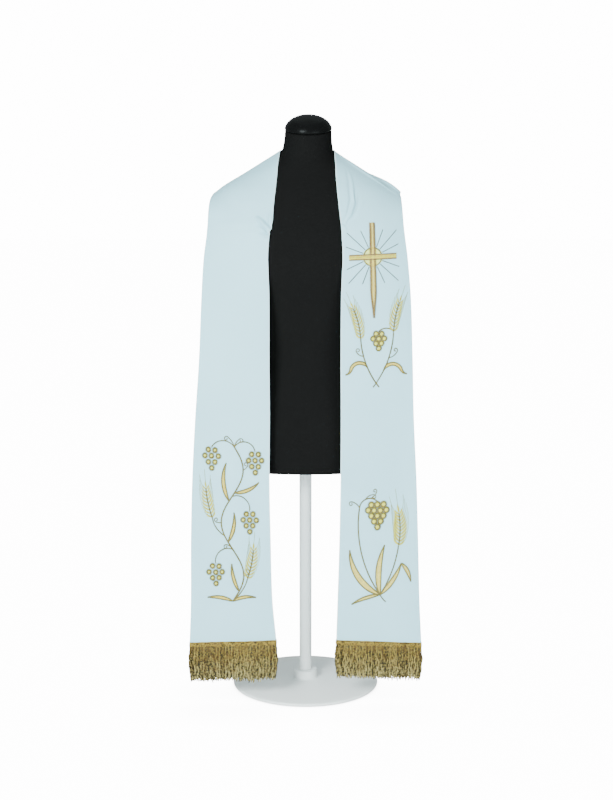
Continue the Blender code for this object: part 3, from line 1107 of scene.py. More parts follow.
def grown(
    name: str,
    points: np.ndarray,
    edges: Sequence[tuple[int, int]],
    attributes: dict[str, np.ndarray],
    group: bpy.types.NodeTree,
    material: bpy.types.Material,
    numbers: dict[str, float] | None = None,
) -> bpy.types.Object:
    """A piece that a Geometry Nodes group grows on a bare mesh.

    Args:
        name: the piece's name.
        points: the bare mesh's points, in millimetres.
        edges: its edges.
        attributes: values for each point, by name: one number or three.
        group: the Geometry Nodes group.
        material: the piece's finish.
        numbers: values for the group's number inputs.

    Returns:
        A plain mesh object, with the modifier gone.
    """
    bare = bpy.data.meshes.new(name + "_bare")
    bare.from_pydata((points * MM).tolist(), edges, [])
    for label, values in attributes.items():
        vector = values.ndim == 2
        layer = bare.attributes.new(label, "FLOAT_VECTOR" if vector else "FLOAT", "POINT")
        layer.data.foreach_set("vector" if vector else "value", values.astype(np.float32).ravel())
    carrier = bpy.data.objects.new(name + "_bare", bare)
    bpy.context.scene.collection.objects.link(carrier)
    modifier = carrier.modifiers.new("grow", "NODES")
    modifier.node_group = group
    wanted = {"Material": material, **(numbers or {})}
    for item in group.interface.items_tree:
        if item.in_out == "INPUT" and item.name in wanted:
            modifier[item.identifier] = wanted[item.name]
    evaluated = carrier.evaluated_get(bpy.context.evaluated_depsgraph_get())
    mesh = bpy.data.meshes.new_from_object(evaluated)
    mesh.name = name
    bpy.data.objects.remove(carrier)
    bpy.data.meshes.remove(bare)
    for attribute in list(mesh.attributes):
        if attribute.name in ("along", "up", "size", "thickness", "phase"):
            mesh.attributes.remove(attribute)
    piece = bpy.data.objects.new(name, mesh)
    bpy.context.scene.collection.objects.link(piece)
    return piece


def dress(piece: bpy.types.Object, replaced: Sequence[str] = ()) -> bpy.types.Object:
    """Hand a finished piece to the frame and report it.

    Args:
        piece: the finished mesh object.
        replaced: the CAD nodes that it stands for.

    Returns:
        The same piece.
    """
    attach(piece, BODY)
    if replaced:
        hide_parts(*replaced)
    triangles = sum(len(face.vertices) - 2 for face in piece.data.polygons)
    LOG.info("%s: %d triangles", piece.name, triangles)
    return piece


# ---- Embroidery ----
class Taper(Enum):
    """How a column of satin stitches narrows towards its ends."""

    EVEN = 0
    POINTED_BOTH = 1
    LEAF = 2
    SPIKE = 3

    def share(self, progress: np.ndarray) -> np.ndarray:
        """How wide the column is along its length.

        Args:
            progress: places along it, from 0 to 1.

        Returns:
            The shares of the full width there.
        """
        if self is Taper.EVEN:
            return np.ones_like(progress)
        if self is Taper.SPIKE:
            return np.interp(progress, (0.0, 0.7, 0.78, 1.0), (0.92, 1.12, 1.0, 0.1))
        if self is Taper.POINTED_BOTH:
            return np.clip(np.minimum(progress * 5, (1 - progress) * 3.2), 0.12, 1) ** 0.8
        return np.clip(np.sin(np.pi * progress**0.8), 0.07, 1) ** 0.75


class Line:
    """A smooth line through a few points, in millimetres."""

    def __init__(self, points: Sequence[Point]) -> None:
        """Measure the line along its points.

        Args:
            points: the points, in order.
        """
        given = np.array(points, float)
        table = np.column_stack([distances_along(given), given])
        self.table = Table("length x y", table)
        self.length = float(table[-1, 0])

    def at(self, lengths: np.ndarray) -> tuple[np.ndarray, np.ndarray]:
        """Places along the line.

        Args:
            lengths: how far along they are.

        Returns:
            The places, and the unit directions there.
        """
        step = 0.4
        row = self.table.at(lengths)
        ahead = self.table.at(lengths + step)
        behind = self.table.at(lengths - step)
        run = np.stack([ahead["x"] - behind["x"], ahead["y"] - behind["y"]], axis=-1)
        return np.stack([row["x"], row["y"]], axis=-1), unit(run)


def sideways(directions: np.ndarray) -> np.ndarray:
    """The directions turned a quarter turn to the left."""
    return np.stack([-directions[..., 1], directions[..., 0]], axis=-1)


@dataclass
class Hoop:
    """One embroidered area: it collects stitches and then sews them to the cloth.

    anchor is the place of the design's own zero as seen from the front, in millimetres. stretch
    makes the design that much taller.
    """

    name: str
    cloth: ClothSurface
    anchor: Point
    stretch: float = 1.0
    pitch: float = 0.8
    thickness: float = 0.95
    seed: int = 3
    stitches: dict[Thread, list[tuple[np.ndarray, ...]]] = field(default_factory=dict)

    def add(
        self, thread: Thread, starts: np.ndarray, ends: np.ndarray, lift: float, thickness: float
    ) -> None:
        """Keep some stitches.

        Args:
            thread: which thread.
            starts: where they come up.
            ends: where they go down.
            lift: their height above the cloth.
            thickness: how thick the thread lies.
        """
        count = len(starts)
        extra = (np.full(count, lift), np.full(count, thickness))
        self.stitches.setdefault(thread, []).append((starts, ends, *extra))

    def satin(
        self,
        thread: Thread,
        line: Line,
        width: float,
        taper: Taper,
        slant: float,
        lift: float,
        offset: float = 0.0,
        density: float = 1.0,
    ) -> None:
        """A column of satin stitches along a line.

        Args:
            thread: which thread.
            line: the column's middle, before the offset.
            width: its full width.
            taper: how it narrows.
            slant: how far each stitch leans along the line, for each unit across.
            lift: its height above the cloth.
            offset: how far to the left of the line its middle runs, as a share of the tapered width.
            density: how close the stitches are, against the usual.
        """
        places = np.arange(self.pitch / 2, line.length, self.pitch / density)
        centres, along = line.at(places)
        across = sideways(along)
        widths = width * taper.share(places / line.length)
        centres = centres + across * (widths * offset)[:, None]
        reach = (across + along * slant) * (widths / 2)[:, None]
        self.add(thread, centres - reach, centres + reach, lift, self.thickness / density)

    def running(self, thread: Thread, line: Line, thickness: float, lift: float = 0.12) -> None:
        """A single line of running stitches.

        Args:
            thread: which thread.
            line: where it runs.
            thickness: how thick it lies.
            lift: its height above the cloth.
        """
        stitch = 2.6
        count = max(round(line.length / stitch), 1)
        ends, _ = line.at(np.linspace(0, line.length, count + 1))
        self.add(thread, ends[:-1], ends[1:], lift, thickness)

    def disc(
        self,
        centre: Point,
        radius: float,
        margins: Point,
        spacing: float = 1.0,
        slope: float = 0.0,
        lift: float = 0.0,
    ) -> None:
        """A round patch of straight cream stitches.

        Args:
            centre: its middle.
            radius: its radius.
            margins: how far inside it the lowest and the highest stitch stay.
            spacing: how far apart the stitches are, against the usual.
            slope: how steeply they run.
            lift: its height above the cloth.
        """
        x, y = centre
        rows = np.arange(-radius + margins[0], radius - margins[1], self.pitch * spacing)
        reach = np.sqrt(np.maximum(radius**2 - rows**2, 0.1))
        starts = np.column_stack([x - reach, y + rows - slope * reach])
        ends = np.column_stack([x + reach, y + rows + slope * reach])
        self.add(Thread.CREAM, starts, ends, lift, self.thickness)

    def outlined(
        self,
        line: Line,
        width: float,
        taper: Taper,
        fill: Thread,
        edge: float,
        outline: Thread = Thread.OUTLINE,
        lift: float = 0.15,
        slant: float = 0.5,
    ) -> None:
        """A filled column in two halves with an edge on either side.

        Args:
            line: its middle.
            width: its full width.
            taper: how it narrows.
            fill: the thread between the edges.
            edge: the width of each edge.
            outline: the thread of the edges.
            lift: its height above the cloth.
            slant: how far its stitches lean along it.
        """
        self.satin(fill, line, width * 0.5, taper, slant, lift, 0.5)
        self.satin(fill, line, width * 0.5, taper, -slant, lift, -0.5)
        places = np.linspace(0, line.length, max(int(line.length / 3), 4))
        centres, along = line.at(places)
        reach = width / 2 * taper.share(places / line.length)
        reach = sideways(along) * np.maximum(reach - edge * 0.25, 0.1)[:, None]
        for edge_points in (centres + reach, centres - reach):
            self.satin(outline, Line(edge_points), edge, Taper.EVEN, 0.3, lift + 0.3, density=1.2)

    def sew(self, tree: bpy.types.NodeTree, finishes: FinishBook) -> list[bpy.types.Object]:
        """Sew every stitch to the cloth, one piece for each thread.

        Args:
            tree: the group that makes the stitches.
            finishes: the materials.

        Returns:
            The sewn pieces.
        """
        pieces = []
        chance = np.random.default_rng(self.seed)
        for thread, batches in self.stitches.items():
            starts, ends, lift, thickness = (np.concatenate(column) for column in zip(*batches))
            x, z = self.anchor
            first, up = self.cloth.drop(starts[:, 0] + x, starts[:, 1] * self.stretch + z)
            last, _ = self.cloth.drop(ends[:, 0] + x, ends[:, 1] * self.stretch + z)
            run = last - first
            length = np.linalg.norm(run, axis=1) + thickness * 0.5
            height = np.minimum(0.55 + length * 0.05, 0.95)
            size = np.column_stack([length, thickness, height]) * MM
            attributes = {
                "along": unit(run),
                "up": up,
                "size": size,
                "tone": np.clip(0.55 + chance.normal(0, 0.22, len(length)), 0, 1),
            }
            middles = (first + last) / 2 + up * lift[:, None]
            name = f"{self.name}_{thread.name.lower()}"
            piece = grown(name, middles, [], attributes, tree, finishes.threads[thread])
            pieces.append(dress(piece))
        return pieces


@dataclass(frozen=True)
class Stem:
    """A narrow satin stem or branch."""

    points: tuple[Point, ...]
    width: float = 2.3

    def draw(self, hoop: Hoop) -> None:
        """Put it in the hoop."""
        hoop.satin(Thread.OUTLINE, Line(self.points), self.width, Taper.EVEN, 0.5, 0.2)


@dataclass(frozen=True)
class Leaf:
    """A long leaf, filled and outlined, pointed at its tip."""

    points: tuple[Point, ...]
    width: float
    taper: Taper = Taper.LEAF
    fill: Thread = Thread.FILL
    edge: float = 2.4

    def draw(self, hoop: Hoop) -> None:
        """Put it in the hoop."""
        hoop.outlined(Line(self.points), self.width, self.taper, self.fill, self.edge)


@dataclass(frozen=True)
class Curl:
    """A tendril that ends in a spiral."""

    points: tuple[Point, ...]
    clockwise: bool = True
    radius: float = 4.4
    turns: float = 0.95
    tightening: float = 0.62
    width: float = 1.6

    def draw(self, hoop: Hoop) -> None:
        """Put it in the hoop: its points run into a spiral that tightens as it turns.

        Args:
            hoop: where it goes.
        """
        before, last = np.array(self.points[-2]), np.array(self.points[-1])
        turn = -1 if self.clockwise else 1
        centre = last + sideways(unit(last - before)) * turn * self.radius
        start = math.atan2(*(last - centre)[::-1])
        steps = np.linspace(0, 1, 14)[1:]
        spin = start + turn * steps * self.turns * 2 * math.pi
        reach = self.radius * (1 - self.tightening * steps)
        spiral = centre + np.column_stack([np.cos(spin), np.sin(spin)]) * reach[:, None]
        line = Line([*self.points, *map(tuple, spiral)])
        hoop.satin(Thread.OUTLINE, line, self.width, Taper.EVEN, 0.6, 0.2)


@dataclass(frozen=True)
class Bunch:
    """A bunch of round grapes, hung from its top row.

    rows counts the grapes of each row, from the top. nesting is how far each row hangs below the
    one above, as a share of the pitch. spacing is how far apart a grape's stitches are, against
    the hoop's.
    """

    top: Point
    rows: tuple[int, ...]
    seed: int
    pitch: float = 13.1
    radius: float = 4.3
    ring: float = 3.6
    spacing: float = 1.15
    nesting: float = 0.88
    jitter: float = 0.4

    def centres(self) -> list[Point]:
        """Place the grapes, each row nested in the one above.

        Returns:
            Their middles, row by row.
        """
        chance = np.random.default_rng(self.seed)
        found = []
        for k, count in enumerate(self.rows):
            for i in range(count):
                x = (i - (count - 1) / 2) * self.pitch + chance.uniform(-self.jitter, self.jitter)
                y = -k * self.nesting * self.pitch + chance.uniform(-self.jitter, self.jitter)
                found.append((self.top[0] + x, self.top[1] + y))
        return found

    def draw(self, hoop: Hoop) -> None:
        """Put each grape in the hoop: a fill of straight stitches and a ring round it.

        Args:
            hoop: where it goes.
        """
        inner = self.radius - self.ring * 0.3
        for centre in self.centres():
            hoop.disc(centre, inner, (0.5, 0.2), self.spacing, slope=0.35, lift=0.12)
            circle = Line(arc(centre, (self.radius, self.radius), 0, 360, 16))
            hoop.satin(Thread.OUTLINE, circle, self.ring, Taper.EVEN, 0.12, 0.45, density=1.3)


@dataclass(frozen=True)
class Ear:
    """An ear of wheat: paired grains along a line, with awns.

    spread is the angle in degrees between a grain and the spine.
    """

    points: tuple[Point, ...]
    pairs: int
    awn: float
    grain: float = 12.5
    grain_width: float = 3.1
    spread: float = 34.0

    def draw(self, hoop: Hoop) -> None:
        """Put the grains, their awns and the spine in the hoop.

        Args:
            hoop: where they go.
        """
        line = Line(self.points)
        places = np.linspace(0.02, 0.97, self.pairs) * line.length
        centres, along = line.at(places)
        for k, (centre, run) in enumerate(zip(centres, along)):
            for hand in (-1, 1):
                progress = (k + (0.5 if hand > 0 else 0.0)) / self.pairs
                size = self.grain * (0.72 + 0.5 * math.sin(math.pi * min(progress + 0.12, 1)))
                self.draw_grain(hoop, centre, run, hand, size, progress)
        self.draw_grain(hoop, centres[-1] + along[-1] * 3, along[-1], 0, self.grain, 1.0)
        hoop.satin(Thread.OUTLINE, line, 2.3, Taper.EVEN, 0.6, 0.6)

    def draw_grain(
        self, hoop: Hoop, foot: np.ndarray, run: np.ndarray, hand: int, size: float, progress: float
    ) -> None:
        """One grain and its awn.

        Args:
            hoop: where it goes.
            foot: where it meets the spine.
            run: the spine's direction there.
            hand: 1 on the left of the spine, -1 on the right, 0 at the tip.
            size: the grain's length.
            progress: how far up the ear it is, from 0 to 1.
        """
        angle = math.radians(hand * (self.spread + 6 * (1 - progress)))
        turn = np.array([[math.cos(angle), -math.sin(angle)], [math.sin(angle), math.cos(angle)]])
        out = turn @ run
        left = sideways(run)
        start = foot + left * hand
        tip = start + out * size
        middle = (start + tip) / 2 + left * hand * size * 0.09
        grain = Line([tuple(start), tuple(middle), tuple(tip)])
        hoop.satin(Thread.WHEAT, grain, self.grain_width, Taper.LEAF, 0.7, 0.2)
        seam = grain.at(np.linspace(0, grain.length, 4))[0] - left * hand * self.grain_width * 0.42
        hoop.running(Thread.OUTLINE, Line(seam), 0.9, 0.5)
        reach = self.awn * (0.25 + 0.75 * progress**1.5)
        bend = tip + unit(out * 0.9 + run) * reach * 0.45
        end = tip + unit(out * 0.45 + run) * reach
        hoop.running(Thread.STRAW, Line([tip, bend, end]), 1.0)


@dataclass(frozen=True)
class RayedCross:
    """A Latin cross over a ring, with thin rays.

    above, below and reach are how far its arms reach up, down and sideways. lean is in degrees.
    """

    above: float
    below: float
    reach: float
    lean: float
    long_ray: float
    short_ray: float
    width: float = 9.8
    upright_edge: float = 4.2
    beam_edge: float = 2.6
    ring: float = 17.5
    ring_edge: float = 2.5
    ray: float = 2.3

    def way(self, angle: float) -> np.ndarray:
        """The direction at an angle in degrees, turned with the cross."""
        angle = math.radians(angle + self.lean)
        return np.array([math.cos(angle), math.sin(angle)])

    def draw(self, hoop: Hoop) -> None:
        """Put the rays, three to each quarter, the ring and the two bars in the hoop.

        Args:
            hoop: where they go.
        """
        for quarter in (0, 90, 180, 270):
            for angle, reach in ((24, self.short_ray), (46, self.long_ray), (68, self.short_ray)):
                way = self.way(quarter + angle)
                ray = Line([tuple(way * (self.ring + 3)), tuple(way * reach)])
                hoop.running(Thread.RAY, ray, self.ray)
        hoop.disc((0.0, 0.0), self.ring, (1.0, 1.0))
        circle = Line(arc((0.0, 0.0), (self.ring, self.ring), 0, 360, 32))
        hoop.satin(Thread.OUTLINE, circle, self.ring_edge, Taper.EVEN, 0.3, 0.1)
        up, right = self.way(90), self.way(0)
        upright = Line([tuple(up * self.above), (0.0, 0.0), tuple(-up * self.below)])
        beam = Line([tuple(-right * self.reach), (0.0, 0.0), tuple(right * self.reach)])
        gold = {"fill": Thread.FILL, "outline": Thread.BRONZE}
        hoop.outlined(upright, self.width, Taper.SPIKE, edge=self.upright_edge, lift=0.5, slant=0.2, **gold)
        hoop.outlined(beam, self.width, Taper.EVEN, edge=self.beam_edge, lift=0.85, slant=0.15, **gold)
        hoop.satin(Thread.WHEAT, beam, self.beam_edge, Taper.EVEN, 0.5, 1.2)


Motif = Stem | Leaf | Curl | Bunch | Ear | RayedCross


def sweep(start: Point, heading: float, length: float, turn: float = 0.0) -> tuple[Point, ...]:
    """Points along a line that turns evenly as it goes.

    Args:
        start: where it sets out.
        heading: which way it sets out, in degrees to the left of +X.
        length: how long it is.
        turn: how far it has turned by its end, in degrees, to the left if positive.

    Returns:
        The points, evenly spaced.
    """
    steps = 9
    points = [start]
    for step in range(steps):
        way = math.radians(heading + turn * (step + 0.5) / steps)
        x, y = points[-1]
        points.append((x + math.cos(way) * length / steps, y + math.sin(way) * length / steps))
    return tuple(points)


def cross_design() -> list[Motif]:
    """A rayed cross over two crossed stalks of wheat, which hold a bunch of grapes between them.

    Returns:
        The motifs, from the cross's middle.
    """
    near_stalk = sweep((14, -254), 128, 104, -34)
    far_stalk = sweep((2, -254), 52, 118, 36)
    branch = sweep(far_stalk[-1], 132, 33, 96)
    near_leaf = sweep(near_stalk[4], 118, 42, 140)
    far_leaf = sweep(far_stalk[3], 70, 45, -140)
    return [
        RayedCross(above=65, below=118, reach=46, lean=1.5, long_ray=68, short_ray=55),
        Stem(near_stalk),
        Ear(sweep(near_stalk[-1], 94, 62, 20), 10, 20),
        Stem(far_stalk),
        Ear(sweep(far_stalk[-1], 88, 58, -18), 9, 20),
        Leaf((*near_leaf, *sweep(near_leaf[-1], 258, 15, -70)[1:]), 6.6, Taper.POINTED_BOTH),
        Leaf((*far_leaf, *sweep(far_leaf[-1], -70, 15, 70)[1:]), 6.6, Taper.POINTED_BOTH),
        Stem(branch, 1.9),
        Bunch((branch[-1][0], branch[-1][1] - 4), (2, 3, 2, 1), seed=4, pitch=10.8, radius=4.7, ring=3.1),
        Curl(sweep(far_stalk[5], 8, 22, 58), clockwise=False),
        Curl(sweep(near_stalk[6], 176, 18, -60), radius=4.2),
    ]


def vine_design() -> list[Motif]:
    """A vine that climbs in waves, with a bunch of grapes in each hollow, ears of wheat and leaves.

    Returns:
        The motifs, from the vine's foot.
    """
    swing, wave, centre, top = 22.0, 205.0, -8.0, 300.0

    def on_stem(height: float) -> Point:
        """The stem's place at a height."""
        return centre + swing * math.sin(2 * math.pi * height / wave), height

    # where each branch leaves the stem, its heading and its turn: a bunch hangs from its end
    branches = ((102, 160, 120), (205, 20, -120), (top, 123, 118), (top, 58, -140))
    stem = tuple(on_stem(height) for height in np.linspace(0, top, 25))
    wheat = (sweep(on_stem(4), 38, 50, 38), sweep(on_stem(128), 150, 44, -50))
    motifs: list[Motif] = [Stem(stem, 2.5)]
    for number, (height, heading, turn) in enumerate(branches):
        branch = sweep(on_stem(height), heading, 54, turn)
        motifs.append(Stem(branch, 1.9))
        motifs.append(Bunch((branch[-1][0], branch[-1][1] - 5), (2, 3, 2, 1), 5 + number))
    for stalk, heading, turn in zip(wheat, (70, 110), (16, -16)):
        motifs += [Stem(stalk, 1.9), Ear(sweep(stalk[-1], heading, 58, turn), 9, 22, spread=38)]
    # where each leaf leaves the stem, its heading, length, turn and width
    for height, heading, length, turn, width in (
        (0, 158, 52, 30, 6.8),
        (0, 32, 48, -44, 6.4),
        (20, 122, 56, -34, 6.8),
        (116, 58, 60, 40, 7.0),
        (196, 120, 76, -52, 7.8),
        (212, 0, 54, 46, 7.0),
    ):
        motifs.append(Leaf(sweep(on_stem(height), heading, length, turn), width))
    # where each tendril leaves the stem, its heading, length and turn
    for height, heading, length, turn in (
        (top, 104, 24, 40),
        (top, 78, 20, -46),
        (256, 24, 13, 40),
        (154, 196, 12, -44),
        (51, 4, 12, 44),
        (102, 120, 16, 50),
    ):
        motifs.append(Curl(sweep(on_stem(height), heading, length, turn), turn < 0))
    return motifs


def sprig_design() -> list[Motif]:
    """A bunch of grapes under an arched vine, beside an ear of wheat, rising out of long leaves.

    Returns:
        The motifs, from a foot a little to the left of the middle.
    """
    foot = (-24.0, 0.0)
    stalk = sweep(foot, 56, 102, 26)
    vine = sweep(foot, 126, 178, -44)
    arch = sweep(vine[-1], 82, 46, -128)
    folded = sweep(foot, 40, 74, 30)
    motifs: list[Motif] = [
        Stem(vine),
        Stem(arch),
        Bunch((arch[-1][0], arch[-1][1] - 6), (3, 4, 3, 2, 1), seed=9, pitch=12.2, radius=5.3, spacing=1.0),
        Curl(sweep(vine[-1], 118, 20, 52), clockwise=False),
        Curl(sweep(arch[4], 58, 20, -60)),
        Curl(sweep(arch[6], 20, 18, 50), clockwise=False, radius=4.0),
        Stem(stalk),
        Ear(sweep(stalk[-1], 80, 62, 20), 10, 30, grain=16.0, grain_width=3.9, spread=38),
        Leaf(folded, 9.0, fill=Thread.PALE),
        Leaf(sweep(folded[-1], -42, 42, -40), 7.6, fill=Thread.PALE),
    ]
    # heading, length, turn and width of each leaf from the foot
    for heading, length, turn, width in (
        (158, 112, -66, 12.0),
        (102, 98, -34, 11.4),
        (186, 60, 24, 6.8),
    ):
        motifs.append(Leaf(sweep(foot, heading, length, turn), width, fill=Thread.PALE))
    motifs.append(Stem(sweep(foot, -62, 18, 20)))
    return motifs


# ---- Sub-assemblies ----
@dataclass
class StoleHalf:
    """One half of the stole: a turned-through band of cloth with soft edges.

    cut is its flat width and length in metres, and cut_area its flat area in square metres; neither is used
    here.
    """

    surface: ClothSurface
    node: str
    cut: tuple[float, float]
    cut_area: float
    fringe_length: float
    rim_angles: tuple[float, ...] = (45.0, 90.0, 135.0)
    rim_bulge: float = 0.8

    def outline(self) -> np.ndarray:
        """The cross-sections of the band as closed rings.

        Returns:
            Their points: the face, the outer rim, the back and the inner rim.
        """
        cloth = self.surface
        middle = (cloth.inside + cloth.face) / 2
        rims = []
        for column, inward, turn in ((-1, -2, 1), (0, 1, -1)):
            start = cloth.normals[:, column] * turn
            out = unit(middle[:, column] - middle[:, inward])
            curve = [
                start * math.cos(angle) + out * math.sin(angle) * self.rim_bulge
                for angle in np.radians(self.rim_angles)
            ]
            rims.append(middle[:, column, None] + np.stack(curve, axis=1) * (CLOTH_THICKNESS / 2))
        return np.concatenate([cloth.face, rims[0], cloth.inside[:, ::-1], rims[1]], axis=1)

    def make(self, finishes: FinishBook) -> bpy.types.Object:
        """Loft the band, with a UV map in metres that follows the cloth.

        Args:
            finishes: the materials.

        Returns:
            The dressed cloth.
        """
        rings = self.outline()
        around = distances_round(rings)
        stations, columns = self.surface.stations, self.surface.columns
        count, size = rings.shape[:2]
        rim = len(self.rim_angles)
        back, back_end = columns + rim, 2 * columns + rim
        faces = loft(rings, ends=False)
        uv = loft_uv(around, stations)
        for row, flip in ((0, True), (count - 1, False)):
            base = row * size
            across = [(base + k, base + back_end - 1 - k) for k in range(columns)]
            rims = [(across[0][0], *[base + size - 1 - k for k in range(rim)], across[0][1])]
            rims.append((across[-1][1], *[base + back - 1 - k for k in range(rim)], across[-1][0]))
            quads = [(a, b, d, c) for (a, c), (b, d) in zip(across, across[1:])]
            for face in [*quads, *rims]:
                faces.append(tuple(reversed(face)) if flip else face)
                uv += [(around[row, corner - base], stations[row]) for corner in faces[-1]]
        if self.surface.side < 0:
            ends = np.cumsum([0, *map(len, faces)])
            uv = [pair for low, high in zip(ends, ends[1:]) for pair in reversed(uv[low:high])]
            faces = [tuple(reversed(face)) for face in faces]
        points = rings.reshape(-1, 3)
        piece = new_piece(self.surface.name, points, faces, finishes.cloth, np.array(uv) * MM, 60)
        # edge marks the band's inner edge and its rim, for a painted highlight; fold marks the crease
        # troughs, for a painted shade
        edge = np.zeros((count, size), np.float32)
        edge[:, [0, *range(back_end - 1, size)]] = 1.0
        fold = np.zeros((count, size), np.float32)
        fold[:, :columns] = self.surface.folded
        fold[:, back:back_end] = self.surface.folded[:, ::-1]
        for label, amounts in (("edge", edge), ("fold", fold)):
            piece.data.attributes.new(label, "FLOAT", "POINT").data.foreach_set("value", amounts.ravel())
        return dress(piece, (self.node,))


@dataclass
class BullionFringe:
    """A braid heading with twisted bullion strands, sewn under one hem.

    heading is the braid's height, and length the strands' below it. Each of the rows holds as many
    strands as there are columns.
    """

    surface: ClothSurface
    node: str
    length: float
    heading: float = 10.0
    overhang: float = 1.5
    columns: int = 56
    cord: float = 1.6
    uneven_ends: float = 2.0
    bends: Point = (2.3, 3.4)
    swing: Point = (0.7, 1.7)
    puff: Point = (0.4, 1.8)
    clump_size: float = 3.3
    clump_lean: float = 1.8
    splay: float = 2.8
    shaded_from: float = 0.45
    shaded_over: float = 0.03
    shading: float = 0.55
    # how far forward, sideways shift, looseness, thickness, brightness and shortening of each row; the inner
    # rows are painted darker, a painted shade between the strands
    rows: tuple[tuple[float, ...], ...] = (
        (2.7, 0.3, 1.0, 0.95, 1.0, 0.0),
        (1.0, 0.8, 0.9, 0.95, 0.5, 1.0),
        (-0.9, 0.35, 0.3, 1.6, 0.3, 5.0),
        (-2.6, 0.75, 0.6, 1.1, 0.9, 2.0),
    )
    # how far below the hem, how proud of it, radius and tone of each straight cord of the heading; the top
    # cord's pale tone is a painted highlight along the heading's top
    braid: tuple[tuple[float, float, float, float], ...] = (
        (-0.4, 2.0, 0.9, 0.98),
        (1.5, 1.0, 1.2, 0.3),
        (3.8, 1.0, 1.3, 0.3),
        (6.1, 1.0, 1.3, 0.2),
        (8.6, 1.8, 1.1, 0.35),
    )
    plait_cords: int = 4
    plait_length: float = 7.2
    plait_middle: float = 5.0
    plait_reach: float = 2.5
    # the tones of the pale and of the dark strands, and how likely each is; pale and dark strands alternate,
    # and the dark ones are partly a painted shade between the pale ones
    pale: tuple[tuple[float, ...], ...] = ((0.92, 0.4), (0.72, 0.28))
    dark: tuple[tuple[float, ...], ...] = ((0.06, 0.34, 0.8), (0.5, 0.34, 0.16))
    seed: int = 11

    def hem(self, shares: np.ndarray) -> tuple[np.ndarray, np.ndarray, float]:
        """Where the heading meets the hem.

        Args:
            shares: places along it, from -0.5 to 0.5 towards +X, ends included with their overhang.

        Returns:
            The points there, the forward direction and the heading's length.
        """
        row = ((self.surface.inside[0] + self.surface.face[0]) / 2)[:: self.surface.side]
        along = unit(row[-1] - row[0])
        row = np.concatenate([[row[0] - along * self.overhang], row, [row[-1] + along * self.overhang]])
        run = distances_along(row)
        points = np.stack([np.interp((shares + 0.5) * run[-1], run, row[:, k]) for k in range(3)], axis=-1)
        return points, unit(np.cross(along, [0.0, 0.0, 1.0])), float(run[-1])

    def lay(
        self,
        part: str,
        cords: list[Cord],
        tree: bpy.types.NodeTree,
        material: bpy.types.Material,
        numbers: dict[str, float],
    ) -> bpy.types.Object:
        """Cords as one piece.

        Args:
            part: which part of the fringe they are.
            cords: the points, the radii and tones there, and the twist's start, of each.
            tree: the group that makes cords.
            material: their finish.
            numbers: values for the group's number inputs.

        Returns:
            The dressed piece.
        """
        paths, radii, tones, phases = (np.array(column) for column in zip(*cords))
        count, steps = paths.shape[:2]
        edges = [(i * steps + k, i * steps + k + 1) for i in range(count) for k in range(steps - 1)]
        attributes = {
            "thickness": radii.ravel() * MM,
            "tone": tones.ravel(),
            "phase": np.repeat(phases, steps),
        }
        name = f"{self.surface.name}_fringe_{part}"
        piece = grown(name, paths.reshape(-1, 3), edges, attributes, tree, material, numbers)
        return dress(piece, (self.node,))

    def make_strands(self, tree: bpy.types.NodeTree, finishes: FinishBook) -> bpy.types.Object:
        """The hanging strands: two loose rows in front of two thick, straighter ones.

        Args:
            tree: the group that makes cords.
            finishes: the materials.

        Returns:
            The dressed strands.
        """
        chance = np.random.default_rng(self.seed + self.surface.side)
        share = np.linspace(0, 1, 19)
        belly = np.sin(np.pi * np.clip(share * 1.15, 0, 1))
        taper = np.clip(np.minimum(0.8 + share * 4, (1.02 - share) * 14), 0.45, 1.0)
        cords = []
        for row, (depth, shift, looseness, width, bright, short) in enumerate(self.rows):
            shares = (np.arange(self.columns) + shift) / self.columns - 0.5
            roots, forward, _ = self.hem(shares * 0.985)
            along = np.cross([0.0, 0.0, 1.0], forward)
            clumps = smooth_noise(np.arange(self.columns), 21 + row, self.clump_size) * self.clump_lean
            for column, (root, place, clump) in enumerate(zip(roots, shares, clumps)):
                phase = chance.uniform(0, 2 * math.pi)
                reach = self.length - short + chance.normal(0, self.uneven_ends)
                bends = chance.uniform(*self.bends)
                curl = np.sin(2 * math.pi * share * bends + phase) * np.minimum(share * 4, 1)
                nod = np.cos(2 * math.pi * share * (bends - 0.4) + phase) * np.minimum(share * 3, 1)
                lean = clump * share**1.5 + chance.normal(0, 0.5) * share
                lean = looseness * (lean + chance.uniform(*self.swing) * curl)
                lean = lean + self.splay * (2 * place) ** 3 * belly
                puff = chance.uniform(*self.puff) * belly * np.sign(depth) + nod * 0.7 * looseness
                path = root + np.outer(lean, along) + np.outer(puff + depth, forward)
                path[:, 2] -= self.heading - 1.0 + share * reach
                # pale and dark strands alternate; the dark ones are partly a painted shade between the pale
                # ones
                likely, odds = self.pale if (column + row) % 2 else self.dark
                shaded = np.clip((abs(place) - self.shaded_from) / self.shaded_over, 0, 1) * self.shading
                # the inner rows and the strands near the fringe's ends are painted darker, a painted shade
                tone = chance.choice(likely, p=odds) * bright * (1 - shaded)
                tone = np.clip(tone + chance.normal(0, 0.06) + 0.22 * curl, 0, 1)
                cords.append((path, self.cord * width * taper, tone, phase))
        numbers = {"Step": 0.0021, "Turns per metre": 45.0, "Groove": 0.74}
        return self.lay("strands", cords, tree, finishes.bullion, numbers)

